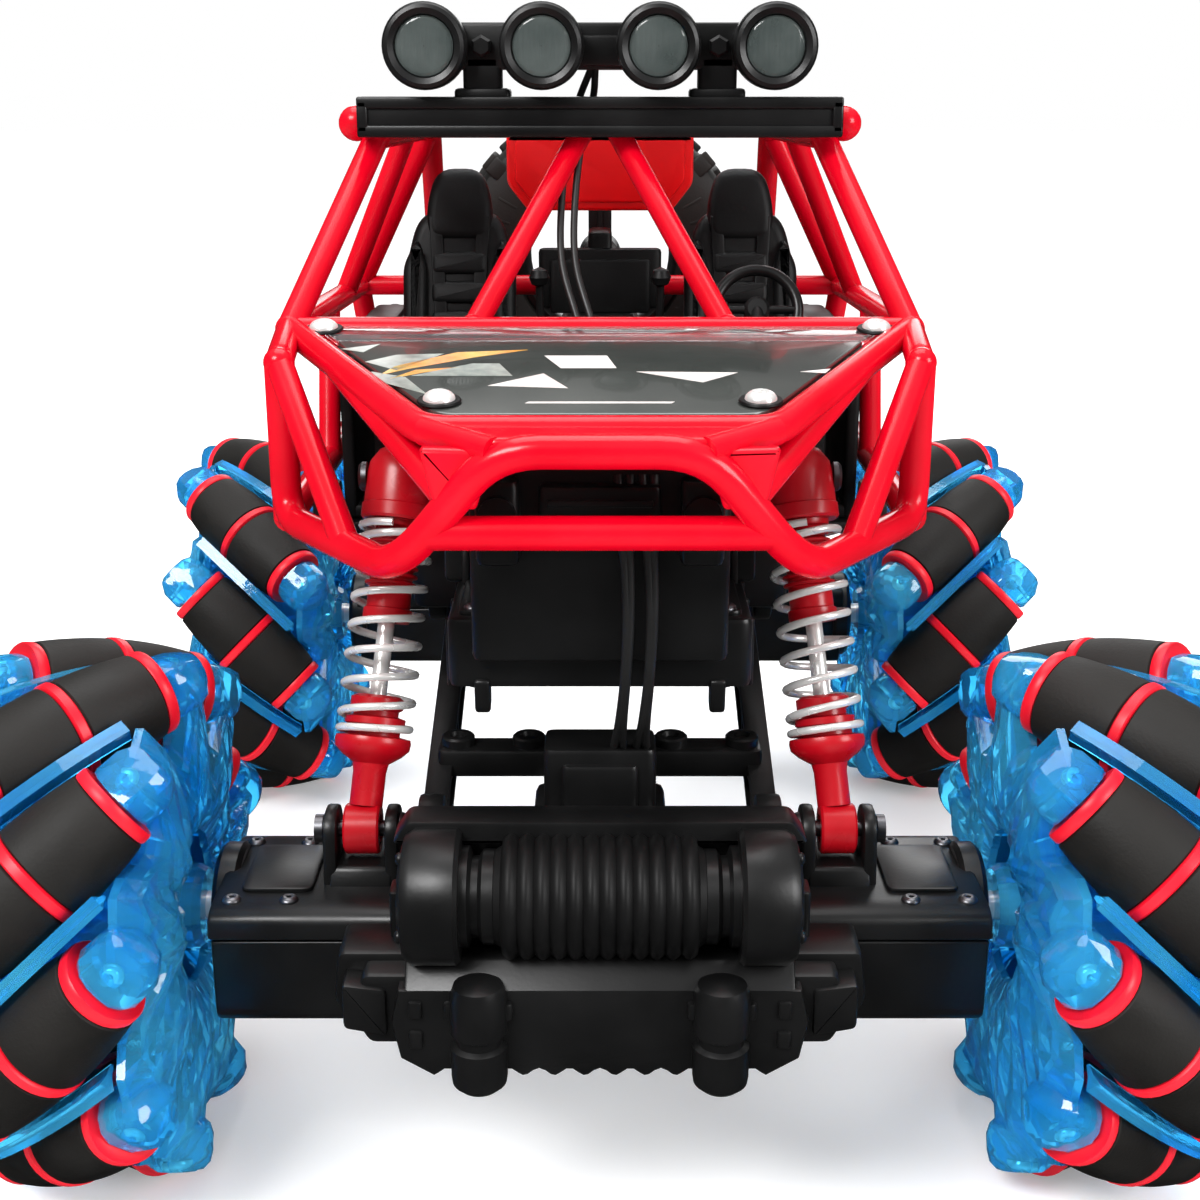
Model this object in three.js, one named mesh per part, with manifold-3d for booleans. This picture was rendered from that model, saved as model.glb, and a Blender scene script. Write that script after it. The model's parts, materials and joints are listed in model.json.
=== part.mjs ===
// Remote control stunt car on roller wheels, as separate named pieces.
// Millimetres, +Z up, nose towards -Y, ground at Z = 0, origin under the middle of the wheelbase.

import * as THREE from 'three';
import { mergeVertices } from 'three/addons/utils/BufferGeometryUtils.js';
import Module from 'manifold-3d';

const wasm = await Module();
wasm.setup();

// Driving dimensions

const gap = 0.4;                 // clearance between pieces that don't move against each other
const wheelRadius = 55;
const wheelWidth = 44;           // over the hub's lugs
const wheelBase = 196;
const track = 204;               // between the wheels' middle planes

const rollerCount = 9;
const rollerCentreRadius = 44.4; // wheel axis to roller axis
const rollerLength = 40;
const rollerTilt = Math.PI / 4;
const rollerPinRadius = 1.5;      // steel pin from lug to lug, fixed in the hub
const rollerBoreRadius = 2.2;
const rollerEndGap = 0.5;
const frontPhase = 33.5;         // degrees from level to one roller, seen on the wheel's front
const rearPhase = 47.5;

const lugRadius = 5.4;
const lugLength = 5;
const drumRadius = 27.5;
const drumWall = 3;
const hubPlate = 3.2;
const bossRadius = 8.5;
const spindleRadius = 3;

const housingBottom = 42;
const housingTop = 66;
const housingFront = 25;         // housing's front face beyond the wheel axis
const housingBack = 12;
const housingEndGap = 5.5;       // between the hub and the housing's end
const flangeRadius = 13;
const flangeLength = 3.5;
const spindleBore = 4.2;

const pivotBehind = 68;          // swing pivot, inboard of the wheel axis
const pivotHeight = 100;
const pivotPinRadius = 1.8;
const pivotEyeHole = 2.6;
const armInner = 30;
const armWidth = 5;
const armDepth = 9;

const shockTopX = 40;
const shockTopY = 22;            // inboard of the wheel axis
const shockTopZ = 140;
const shockFootX = 47;
const shockFootY = 6;            // outboard of the wheel axis
const shockFootZ = 75;
const shockEyeRadius = 4.6;
const shockEyeWidth = 7;
const shockPinRadius = 1.6;
const shockTopHole = 2.1;
const shockFootHole = 2.8;       // open pivot of the linkage, so it is loose
const shockBarrel = 4.6;
const shockBore = 2.3;
const shockRodRadius = 1.7;
const shockBoreStart = 11;       // from the top eye, along the shock
const shockTravel = 8;           // each way, kept free inside the bore
const perchRadius = 7;

const trayBottom = 106;
const trayTop = 121;
const trayHalf = 41;
const trayEndHalf = 29;
const trayWaist = 58;            // half length of the wide middle
const tubeRadius = 3;
const tubeSides = 5;

const red = { color: 0xe10a26, roughness: 0.28, metalness: 0 };
const shockRed = { color: 0xaa0a19, roughness: 0.35, metalness: 0.1 };
const black = { color: 0x151517, roughness: 0.5, metalness: 0 };
const rubber = { color: 0x1d1c1b, roughness: 0.85, metalness: 0 };
const blue = { color: 0x1d93d0, roughness: 0.12, metalness: 0, transparent: true, opacity: 0.7 };
const clear = { color: 0x3a3d40, roughness: 0.08, metalness: 0, transparent: true, opacity: 0.85 };
const cell = { color: 0x2b3f8c, roughness: 0.4, metalness: 0 };

// places worked out from the dimensions
const axleY = wheelBase / 2;
const wheelX = track / 2;
const housingEnd = wheelX - wheelWidth / 2 - housingEndGap;
const pivotY = axleY - pivotBehind;
const shockTop = new THREE.Vector3(shockTopX, -(axleY - shockTopY), shockTopZ);
const shockFoot = new THREE.Vector3(shockFootX, -(axleY + shockFootY), shockFootZ);
const noseY = -(axleY + 34);
const tailY = axleY + 27;

// Helpers

const group = new THREE.Group();
group.name = 'rc_stunt_car';

function at(x, y, z) {
  return new THREE.Vector3(x, y, z);
}

// closed geometry to a boolean solid, without the flat triangles that a pole leaves
function solid(geometry) {
  const plain = geometry.clone();
  plain.deleteAttribute('normal');
  plain.deleteAttribute('uv');
  const merged = mergeVertices(plain, 1e-4);
  const kept = [];
  const index = merged.index.array;
  for (let i = 0; i < index.length; i += 3) {
    const [a, b, c] = [index[i], index[i + 1], index[i + 2]];
    if (a !== b && b !== c && c !== a) kept.push(a, b, c);
  }
  const mesh = new wasm.Mesh({
    numProp: 3,
    vertProperties: new Float32Array(merged.attributes.position.array),
    triVerts: new Uint32Array(kept),
  });
  return new wasm.Manifold(mesh);
}

function geometryOf(manifold) {
  const mesh = manifold.getMesh();
  const geometry = new THREE.BufferGeometry();
  geometry.setAttribute('position', new THREE.BufferAttribute(mesh.vertProperties, 3));
  geometry.setIndex(new THREE.BufferAttribute(mesh.triVerts, 1));
  geometry.computeVertexNormals();
  return geometry;
}

function joined(solids) {
  return solids.reduce((whole, next) => whole.add(next));
}

function addPiece(name, geometry, finish) {
  const mesh = new THREE.Mesh(geometry, new THREE.MeshStandardMaterial(finish));
  mesh.name = name;
  group.add(mesh);
  return mesh;
}

function block(x0, x1, y0, y1, z0, z1) {
  const geometry = new THREE.BoxGeometry(x1 - x0, y1 - y0, z1 - z0);
  geometry.translate((x0 + x1) / 2, (y0 + y1) / 2, (z0 + z1) / 2);
  return solid(geometry);
}

// a closed [y, z] outline carried along X
function slab(outline, x0, x1) {
  const shape = new THREE.Shape(outline.map(([y, z]) => new THREE.Vector2(y, z)));
  const geometry = new THREE.ExtrudeGeometry(shape, { depth: x1 - x0, bevelEnabled: false });
  geometry.applyMatrix4(new THREE.Matrix4().makeBasis(at(0, 1, 0), at(0, 0, 1), at(1, 0, 0)));
  geometry.translate(x0, 0, 0);
  return solid(geometry);
}

// a closed [x, z] outline carried along Y
function panel(outline, y0, y1) {
  const shape = new THREE.Shape(outline.map(([x, z]) => new THREE.Vector2(x, z)));
  const geometry = new THREE.ExtrudeGeometry(shape, { depth: y1 - y0, bevelEnabled: false });
  geometry.rotateX(Math.PI / 2);
  geometry.translate(0, y1, 0);
  return solid(geometry);
}

function rod(from, to, radius, sides = 8) {
  const along = to.clone().sub(from);
  const geometry = new THREE.CylinderGeometry(radius, radius, along.length(), sides);
  const turn = new THREE.Quaternion().setFromUnitVectors(at(0, 1, 0), along.clone().normalize());
  geometry.applyQuaternion(turn);
  geometry.translate(...from.clone().add(to).multiplyScalar(0.5).toArray());
  return solid(geometry);
}

function ball(centre, radius, detail = 0) {
  const geometry = new THREE.IcosahedronGeometry(radius, detail);
  geometry.translate(centre.x, centre.y, centre.z);
  return solid(geometry);
}

// radius and height pairs turned about a line: the first and last points are on the line
function turned(profile, from, towards, sides) {
  const points = profile.map(([r, h]) => new THREE.Vector2(r, h));
  const geometry = new THREE.LatheGeometry(points, sides);
  const along = towards.clone().sub(from).normalize();
  geometry.applyQuaternion(new THREE.Quaternion().setFromUnitVectors(at(0, 1, 0), along));
  geometry.translate(from.x, from.y, from.z);
  return solid(geometry);
}

function mirrorX(point) {
  return at(-point.x, point.y, point.z);
}

function halfTurn(geometry) {
  return geometry.clone().rotateZ(Math.PI);
}

// Wheels

const slope = Math.sin(rollerTilt);
const lugStart = rollerLength / 2 + rollerEndGap;

// distance from the roller's axis to the wheel's outer circle, at s along the roller
function rollerRadiusAt(s) {
  return wheelRadius - Math.hypot(rollerCentreRadius, s * slope);
}

function rollerGeometry() {
  const half = rollerLength / 2;
  const barrel = [[0, -half], [rollerRadiusAt(half), -half], [rollerRadiusAt(0), 0],
    [rollerRadiusAt(half), half], [0, half]];
  return geometryOf(turned(barrel, at(0, 0, 0), at(0, 1, 0), 10)
    .subtract(rod(at(0, -half - 1, 0), at(0, half + 1, 0), rollerBoreRadius, 6)));
}

// rollers lean the other way on the mirrored wheel, so hand is +1 or -1
function rollerDirection(hand) {
  return at(Math.cos(rollerTilt), 0, hand * slope);
}

function onRoller(hand, s) {
  return rollerDirection(hand).multiplyScalar(s).add(at(0, -rollerCentreRadius, 0));
}

// point of the wheel's side view: radius and degrees from the roller's middle, [y, z]
function polar(radius, degrees) {
  const turn = THREE.MathUtils.degToRad(degrees);
  return [-radius * Math.cos(turn), radius * Math.sin(turn)];
}

// one plate with a tooth behind each roller's end
function toothedPlate(hand, side) {
  const step = 360 / rollerCount;
  const lean = THREE.MathUtils.radToDeg(Math.atan2(lugStart * slope, rollerCentreRadius));
  const tip = Math.hypot(rollerCentreRadius, lugStart * slope) + 1.5;
  const tooth = [[drumRadius, lean - 2], [tip - 9, lean + 3.5], [tip, lean + 5],
    [drumRadius + 4, lean + 0.5 * step]];
  const outline = [];
  for (let i = 0; i < rollerCount; i++) {
    tooth.forEach(([r, a]) => outline.push(polar(r, hand * side * (i * step + a))));
  }
  const middle = side * (lugStart + lugLength / 2) * Math.cos(rollerTilt);
  return slab(outline, middle - hubPlate / 2, middle + hubPlate / 2);
}

function hubGeometry(hand, inward) {
  const step = 2 * Math.PI / rollerCount;
  const plateOut = (lugStart + lugLength / 2) * Math.cos(rollerTilt) + hubPlate / 2;
  const web = -inward * (plateOut - 4);
  const spindleEnd = inward * (wheelWidth / 2 + housingEndGap + 7);
  const hollow = rod(at(web, 0, 0), at(inward * (plateOut + 1), 0, 0), drumRadius - drumWall, 14);
  let hub = joined([toothedPlate(hand, 1), toothedPlate(hand, -1),
    rod(at(-plateOut, 0, 0), at(plateOut, 0, 0), drumRadius, 14)]).subtract(hollow);
  for (let i = 0; i < rollerCount; i++) {
    const spin = new THREE.Matrix4().makeRotationX(-i * step);
    const along = (s) => onRoller(hand, s).applyMatrix4(spin);
    hub = hub.add(rod(along(-lugStart - 1), along(lugStart + 1), rollerPinRadius, 6));
    for (const side of [1, -1]) {
      hub = hub.add(rod(along(side * lugStart), along(side * (lugStart + lugLength)), lugRadius, 4));
    }
  }
  return geometryOf(joined([hub,
    rod(at(web - inward, 0, 0), at(inward * wheelWidth / 2, 0, 0), bossRadius, 10),
    rod(at(web, 0, 0), at(spindleEnd, 0, 0), spindleRadius, 8)]));
}

const roller = rollerGeometry();
const wheels = [
  { name: 'front_left', x: -1, y: -1, hand: 1, phase: frontPhase },
  { name: 'front_right', x: 1, y: -1, hand: -1, phase: frontPhase },
  { name: 'rear_left', x: -1, y: 1, hand: -1, phase: rearPhase },
  { name: 'rear_right', x: 1, y: 1, hand: 1, phase: rearPhase },
];

for (const wheel of wheels) {
  const centre = at(wheel.x * wheelX, wheel.y * axleY, wheelRadius);
  const hub = addPiece(`wheel_hub_${wheel.name}`, hubGeometry(wheel.hand, -wheel.x), blue);
  hub.position.copy(centre);
  hub.rotation.x = -THREE.MathUtils.degToRad(wheel.phase);
  for (let i = 0; i < rollerCount; i++) {
    const angle = THREE.MathUtils.degToRad(wheel.phase + i * 360 / rollerCount);
    const piece = addPiece(`roller_${wheel.name}_${i + 1}`, roller, rubber);
    const spin = new THREE.Quaternion().setFromAxisAngle(at(1, 0, 0), -angle);
    const lean = new THREE.Quaternion().setFromUnitVectors(at(0, 1, 0), rollerDirection(wheel.hand));
    piece.position.copy(onRoller(wheel.hand, 0).applyQuaternion(spin).add(centre));
    piece.quaternion.copy(spin.multiply(lean));
  }
}

// Axles: housing, arms, shock clevises

function axleSolid() {
  const front = -(axleY + housingFront);
  const back = -(axleY - housingBack);
  const outline = [[front, housingBottom + 3], [front, housingTop - 5], [front + 4, housingTop],
    [back - 4, housingTop], [back, housingTop - 4], [back, housingBottom + 4],
    [back - 4, housingBottom], [front + 4, housingBottom]];
  const solids = [slab(outline, -housingEnd, housingEnd),
    block(-13, 13, -axleY - 14, -axleY + 6, housingTop - 1, 80),
    block(-9, 9, -axleY - 10, -axleY + 2, 79, 88),
    block(-33, 33, -axleY - 24, -axleY - 18, housingTop - 1, 79),
    block(-33, 33, -axleY + 5, -axleY + 13, 81, 87)];
  for (const side of [-1, 1]) {
    solids.push(rod(at(side * (housingEnd - 1), -axleY, wheelRadius),
      at(side * (housingEnd + flangeLength), -axleY, wheelRadius), flangeRadius, 12));
    const x0 = side > 0 ? armInner : -armInner - armWidth;
    const foot = [-(axleY + 22), 70];
    const pivot = [-pivotY, pivotHeight];
    const along = new THREE.Vector2(pivot[0] - foot[0], pivot[1] - foot[1]).normalize();
    const [ny, nz] = [-along.y * armDepth / 2, along.x * armDepth / 2];
    solids.push(slab([[foot[0] + ny, foot[1] + nz], [foot[0] - ny, foot[1] - nz],
      [pivot[0] - ny, pivot[1] - nz], [pivot[0] + ny, pivot[1] + nz]], x0, x0 + armWidth));
    solids.push(slab([[-(axleY + 24), housingTop - 1], [-(axleY + 24), 80], [-(axleY + 12), 86],
      [-(axleY - 6), housingTop - 1]], x0, x0 + armWidth));
    solids.push(rod(at(x0, -pivotY, pivotHeight), at(x0 + armWidth, -pivotY, pivotHeight), 5.5, 10));
    const reach = shockEyeWidth / 2 + 1.2;
    for (const ear of [-1, 1]) {
      const inner = side * shockFootX + ear * reach;
      const outer = inner + ear * 2.6;
      solids.push(slab([[shockFoot.y - 7, housingTop - 1], [shockFoot.y - 4, shockFootZ + 3],
        [shockFoot.y + 4, shockFootZ + 3], [shockFoot.y + 7, housingTop - 1]],
        Math.min(inner, outer), Math.max(inner, outer)));
    }
    solids.push(rod(at(side * (shockFootX - reach - 1), shockFoot.y, shockFootZ),
      at(side * (shockFootX + reach + 1), shockFoot.y, shockFootZ), shockPinRadius, 8));
  }
  let axle = joined(solids);
  for (const side of [-1, 1]) {
    const x0 = side > 0 ? armInner : -armInner - armWidth;
    axle = axle.subtract(rod(at(x0 - 1, -pivotY, pivotHeight),
      at(x0 + armWidth + 1, -pivotY, pivotHeight), pivotEyeHole, 10));
    axle = axle.subtract(rod(at(side * (housingEnd - 9), -axleY, wheelRadius),
      at(side * (housingEnd + flangeLength + 1), -axleY, wheelRadius), spindleBore, 10));
  }
  return axle;
}

const axle = geometryOf(axleSolid());
addPiece('front_axle', axle, black);
addPiece('rear_axle', halfTurn(axle), black);

// Winch and bumper on the front axle

const winch = { y: -(axleY + 37), z: 76, drum: 10.5, drumHalf: 18, spool: 7.5, spoolHalf: 26,
  disc: 12, discHalf: 36 };
const bumper = { bottom: 48, top: 63, half: 48, faceHalf: 40, lipHalf: 36 };
const hook = { x: 21.7, half: 3.8, bottom: 44, top: 65, reach: 11 };
const bumperBack = -(axleY + housingFront) - gap;
const winchFoot = 60;
const winchLine = (x0, x1, radius, sides) =>
  rod(at(x0, winch.y, winch.z), at(x1, winch.y, winch.z), radius, sides);
const bumperSolids = [
  winchLine(-winch.drumHalf, winch.drumHalf, winch.drum, 14),
  winchLine(-winch.spoolHalf, winch.spoolHalf, winch.spool, 12),
  block(-winch.discHalf, winch.discHalf, bumperBack - 5, bumperBack, winchFoot, 87),
  block(-bumper.faceHalf, bumper.faceHalf, winch.y - 9, bumperBack, bumper.bottom, bumper.top),
  slab([[winch.y - 9, 51], [winch.y - 9, 62], [winch.y - 4, 66], [winch.y + 2, 66],
    [winch.y + 2, bumper.bottom], [winch.y - 6, 46]], -bumper.lipHalf, bumper.lipHalf),
  block(-bumper.half, bumper.half, winch.y - 2, bumperBack, bumper.bottom + 3, bumper.top + 1),
];
for (const side of [-1, 1]) {
  const [inner, outer] = [side * (winch.discHalf - 11), side * winch.discHalf];
  bumperSolids.push(winchLine(inner, outer, winch.disc, 14));
  bumperSolids.push(block(Math.min(inner, outer), Math.max(inner, outer),
    winch.y, bumperBack, winchFoot, 86));
  bumperSolids.push(block(side * hook.x - hook.half, side * hook.x + hook.half,
    winch.y - hook.reach, winch.y - 4, hook.bottom, hook.top));
}
addPiece('winch_bumper', geometryOf(joined(bumperSolids)), black);

// Shock absorbers

// a shock's sleeve and rod, along the line from its top eye down to its foot
const shockLength = shockTop.distanceTo(shockFoot);
const barrelEnd = shockLength * 0.42;
const perchTop = shockLength * 0.66;
const rodTop = shockBoreStart + shockTravel;

function shockSolid(side, isBody) {
  const top = side > 0 ? shockTop.clone() : mirrorX(shockTop);
  const foot = side > 0 ? shockFoot.clone() : mirrorX(shockFoot);
  const along = (s) => top.clone().lerp(foot, s / shockLength);
  const eyeAt = isBody ? top : foot;
  const hole = isBody ? shockTopHole : shockFootHole;
  const across = at(shockEyeWidth / 2, 0, 0);
  const eye = rod(eyeAt.clone().sub(across), eyeAt.clone().add(across), shockEyeRadius, 8);
  const wide = at(shockEyeWidth, 0, 0);
  const bore = rod(eyeAt.clone().sub(wide), eyeAt.clone().add(wide), hole, 8);
  if (isBody) {
    const sleeve = [[0, 3], [3, 3], [3, 7], [perchRadius, 7], [perchRadius, 9.5],
      [shockBarrel, 9.5], [shockBarrel, barrelEnd], [0, barrelEnd]];
    return turned(sleeve, top, foot, 8).add(eye).subtract(bore)
      .subtract(rod(along(shockBoreStart), along(barrelEnd + 1), shockBore, 8));
  }
  const stem = [[0, rodTop], [shockRodRadius, rodTop], [shockRodRadius, perchTop - 5],
    [5.2, perchTop - 5], [5.2, perchTop], [perchRadius, perchTop], [perchRadius, perchTop + 3],
    [3, perchTop + 6], [3, shockLength - 3], [0, shockLength - 3]];
  return turned(stem, top, foot, 8).add(eye).subtract(bore);
}

for (const [label, side] of [['right', 1], ['left', -1]]) {
  const sleeve = geometryOf(shockSolid(side, true));
  const stem = geometryOf(shockSolid(side, false));
  const opposite = side > 0 ? 'left' : 'right';
  addPiece(`shock_sleeve_front_${label}`, sleeve, shockRed);
  addPiece(`shock_rod_front_${label}`, stem, shockRed);
  addPiece(`shock_sleeve_rear_${opposite}`, halfTurn(sleeve), shockRed);
  addPiece(`shock_rod_rear_${opposite}`, halfTurn(stem), shockRed);
}

// Chassis tray

const sill = { half: 64, z: 131, front: -(axleY - 23), rear: axleY - 23 };
const sillPost = sill.half - 1;
const tubeFlat = tubeRadius * Math.cos(Math.PI / tubeSides);

const towerTop = shockTopZ + 6;
const towerFoot = Math.min(trayTop - 1, shockTopZ - 6);

const batteryHalf = 17;
const batteryStart = -24;
const batteryEnd = 30;
const batteryTop = trayTop - 4;

function trayEnd() {
  const towerY = -(axleY - shockTopY);
  const solids = [
    block(-trayEndHalf, trayEndHalf, -(axleY + 10), -trayWaist + 1, trayBottom, trayTop),
    block(-22, 22, towerY - 7, towerY + 7, trayTop - 1, towerTop + 1)];
  for (const side of [-1, 1]) {
    const inner = side * (shockTopX - shockEyeWidth / 2 - 3.6);
    solids.push(slab([[towerY - 8, towerFoot], [towerY - 5, towerTop], [towerY + 5, towerTop],
      [towerY + 8, towerFoot]], Math.min(side * 22, inner), Math.max(side * 22, inner)));
    solids.push(rod(at(inner - side, towerY, shockTopZ),
      at(side * (shockTopX + shockEyeWidth / 2 + 1.5), towerY, shockTopZ), shockPinRadius, 8));
    const armOuter = armInner + armWidth;
    for (const [x0, x1] of [[armInner - 5, armInner - 1], [armOuter + 1, armOuter + 5]]) {
      solids.push(block(Math.min(side * x0, side * x1), Math.max(side * x0, side * x1),
        -pivotY - 7, -pivotY + 7, pivotHeight - 5, trayBottom + 1));
    }
    solids.push(rod(at(side * (armInner - 2), -pivotY, pivotHeight),
      at(side * (armInner + armWidth + 2), -pivotY, pivotHeight), pivotPinRadius, 8));
  }
  return joined(solids);
}

const endSolid = trayEnd();
const endTurned = solid(halfTurn(geometryOf(endSolid)));
const tray = joined([
  block(-trayHalf, trayHalf, -trayWaist, trayWaist, trayBottom, trayTop),
  endSolid, endTurned,
  block(-14, 14, -60, -30, 88, trayBottom + 1),
  block(-14, 14, 34, 60, 92, trayBottom + 1),
  block(-24, 24, -(axleY + 20), -(axleY + 8), 112, 151),
  block(-61, 61, -40, 62, trayTop - 3, trayTop),
  ...[-1, 1].flatMap((side) => [-30, 40].map((y) => block(side * sillPost - 3, side * sillPost + 3,
    y - 5, y + 5, trayTop - 3, sill.z - tubeFlat - gap))),
]).subtract(block(-batteryHalf - gap, batteryHalf + gap, batteryStart - gap, batteryEnd + gap,
  trayBottom - 1, batteryTop));
addPiece('chassis_tray', geometryOf(tray), black);

addPiece('battery_pack', geometryOf(
  block(-batteryHalf, batteryHalf, batteryStart, batteryEnd, trayBottom + 1, batteryTop - gap)), cell);

// Roll cage

const belt = { half: 66, z: 162, rear: 60 };
const roof = { half: 51, rearHalf: 45, z: 204, front: -10, rear: 55 };
const hood = { frontHalf: 31, frontZ: 158, rearHalf: 66, rearZ: 166, rear: -50 };
const cornerLow = at(36, noseY + 7, 134);
const sillFront = at(sill.half, sill.front, sill.z);
const sillRear = at(sill.half, sill.rear, sill.z);
const postTop = at(sill.half, sill.front, 163);
const loopTop = at(18, noseY + 2, 157);
const loopSide = loopTop.clone().lerp(cornerLow, 0.42);
const loopLow = loopTop.clone().lerp(cornerLow, 0.68);
const hoodFront = at(hood.frontHalf, noseY + 14, hood.frontZ);
const hoodRear = at(hood.rearHalf, hood.rear, hood.rearZ);
const roofFront = at(roof.half, roof.front, roof.z);
const roofRear = at(roof.rearHalf, roof.rear, roof.z);
const roofEnd = at(roof.half + 6, roof.front, roof.z + 3);
const beltRear = at(belt.half, belt.rear, belt.z);
const tail = at(50, tailY, 140);
const shieldTop = at(3, roof.front, roof.z);
const shieldFoot = at(27, hood.rear + 1, hood.rearZ);

const runs = [
  [cornerLow, sillFront], [sillFront, sillRear], [sillFront, postTop],
  [postTop, hoodRear], [loopTop, cornerLow], [loopTop, hoodFront],
  [hoodFront, hoodRear], [hoodFront.clone().lerp(hoodRear, 0.62), loopSide],
  [postTop, cornerLow.clone().lerp(sillFront, 0.42)], [hoodRear, roofFront],
  [shieldTop, shieldFoot], [roofFront, roofRear], [roofFront, roofEnd],
  [roofFront.clone().lerp(roofRear, 0.52), hoodRear.clone().lerp(beltRear, 0.74)],
  [hoodRear, beltRear], [roofRear, beltRear], [beltRear, sillRear], [roofRear, tail],
  [sillRear, tail], [hoodRear.clone().lerp(beltRear, 0.5), sillRear.clone().lerp(sillFront, 0.62)],
];
const crossBars = [loopLow, loopTop, hoodFront, hoodRear, roofFront, roofRear, beltRear, tail];
const cageSolids = [];
for (const [from, to] of runs) {
  cageSolids.push(rod(from, to, tubeRadius, tubeSides),
    rod(mirrorX(from), mirrorX(to), tubeRadius, tubeSides));
}
crossBars.forEach((end) => cageSolids.push(rod(end, mirrorX(end), tubeRadius, tubeSides)));
cageSolids.push(ball(roofEnd, 4.2), ball(mirrorX(roofEnd), 4.2));
addPiece('roll_cage', geometryOf(joined(cageSolids)), red);

// Hood and roof sheets, lying on the tubes

const sheetThickness = 1.2;

// a four-sided sheet between two mirrored points, lifted by a distance along its own normal
function sheetOver(frontPoint, rearPoint, sideInset, endTrim, lift) {
  const rise = Math.atan2(rearPoint.z - frontPoint.z, rearPoint.y - frontPoint.y);
  const length = Math.hypot(rearPoint.z - frontPoint.z, rearPoint.y - frontPoint.y);
  const widen = (rearPoint.x - frontPoint.x) / length;
  const front = frontPoint.x + widen * endTrim - sideInset * Math.hypot(1, widen);
  const rear = rearPoint.x - widen * endTrim - sideInset * Math.hypot(1, widen);
  const shape = new THREE.Shape([
    new THREE.Vector2(-front, endTrim), new THREE.Vector2(front, endTrim),
    new THREE.Vector2(rear, length - endTrim), new THREE.Vector2(-rear, length - endTrim)]);
  const geometry = new THREE.ExtrudeGeometry(shape, { depth: sheetThickness, bevelEnabled: false });
  geometry.translate(0, 0, lift);
  geometry.rotateX(rise);
  geometry.translate(0, frontPoint.y, frontPoint.z);
  return geometryOf(solid(geometry));
}

const besideTube = tubeRadius + gap + 0.2;
addPiece('hood_panel', sheetOver(hoodFront, hoodRear, besideTube, besideTube, 0.6), clear);
addPiece('roof_panel', sheetOver(roofFront, roofRear, 2, besideTube, tubeRadius + gap), clear);

// Light bar

const shelf = { half: 55.5, depth: 8, bottom: roof.z + 0.8, top: roof.z + 8 };
const lamps = { z: roof.z + 19.6, y: roof.front - 8, pitch: 26.6, radius: 9.2, barHalf: 44, footX: 26 };
const shelfBack = roof.front - tubeRadius * 1.15 - gap;
const lightSolids = [
  block(-shelf.half, shelf.half, shelfBack - shelf.depth, shelfBack, shelf.bottom, shelf.top),
  block(-lamps.barHalf, lamps.barHalf, lamps.y - 2, lamps.y + 4, lamps.z - 5, lamps.z + 5)];
const lampProfile = [[0, -8], [5, -8], [lamps.radius, -2], [lamps.radius, 9], [0, 9]];
for (const side of [-1, 1]) {
  lightSolids.push(block(side * lamps.footX - 4.3, side * lamps.footX + 4.3,
    shelfBack - 6, shelfBack, shelf.top - 1, lamps.z));
  for (const step of [0.5, 1.5]) {
    const x = side * step * lamps.pitch;
    lightSolids.push(turned(lampProfile, at(x, lamps.y, lamps.z), at(x, lamps.y - 1, lamps.z), 14));
  }
}
addPiece('light_bar', geometryOf(joined(lightSolids)), black);

// Cockpit: floor, seats, dash and console in one moulding

const floorZ = trayTop + gap;
const tub = { half: 58, wall: 3, front: -38, rear: 60, wallTop: 157, dashHalf: 50, dashDepth: 14 };
const ledge = { inner: 49, outer: 61, front: -30, rear: 44, bottom: 152, top: 158 };
const consoleBox = { half: 10, top: 160, rear: 34, postHalf: 3, postTop: 180 };
const seat = { x: 35, half: 13, cushionTop: 148, backHalf: 14, headHalf: 9 };
const steering = { x: seat.x + 1, y: -20, z: 166, radius: 9.5, rim: 1.3, lean: 0.45 };
const dashBack = tub.front + 8;
const tubSolids = [
  block(-tub.half, tub.half, tub.front, tub.rear, floorZ, floorZ + tub.wall),
  block(-tub.dashHalf, tub.dashHalf, dashBack - tub.dashDepth, dashBack, floorZ + 1, consoleBox.top),
  block(-consoleBox.half, consoleBox.half, dashBack - 1, consoleBox.rear, floorZ + 1, consoleBox.top),
  block(-consoleBox.postHalf, consoleBox.postHalf, 20, consoleBox.rear, consoleBox.top - 1,
    consoleBox.postTop),
];
for (const side of [-1, 1]) {
  const span = (a, b) => [Math.min(side * a, side * b), Math.max(side * a, side * b)];
  const x = side * seat.x;
  tubSolids.push(
    block(...span(ledge.inner, ledge.outer), ledge.front, ledge.rear, ledge.bottom, ledge.top),
    block(...span(tub.half - tub.wall, tub.half), tub.front, tub.rear, floorZ, tub.wallTop),
    block(x - seat.half, x + seat.half, -14, 16, floorZ + 1, seat.cushionTop),
    slab([[8, 146], [16, 146], [27, 186], [26, 195], [20, 195], [18, 186]],
      x - seat.headHalf, x + seat.headHalf),
    slab([[8, 146], [18, 146], [26, 182], [17, 182]], x - seat.backHalf, x + seat.backHalf));
}
const steeringHub = at(steering.x, steering.y, steering.z);
tubSolids.push(rod(at(steering.x, steering.y - 12, steering.z - 6), steeringHub, 1.6, 6));
const steeringRim = new THREE.TorusGeometry(steering.radius, steering.rim, 6, 16);
steeringRim.rotateX(Math.PI / 2 - steering.lean);
steeringRim.translate(...steeringHub.toArray());
const spoke = at(steering.radius - 0.5, 0, 0);
tubSolids.push(solid(steeringRim),
  rod(steeringHub.clone().sub(spoke), steeringHub.clone().add(spoke), 1.1, 6));
addPiece('cockpit_tub', geometryOf(joined(tubSolids)), black);

// Red rear panel between the pillars

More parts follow.
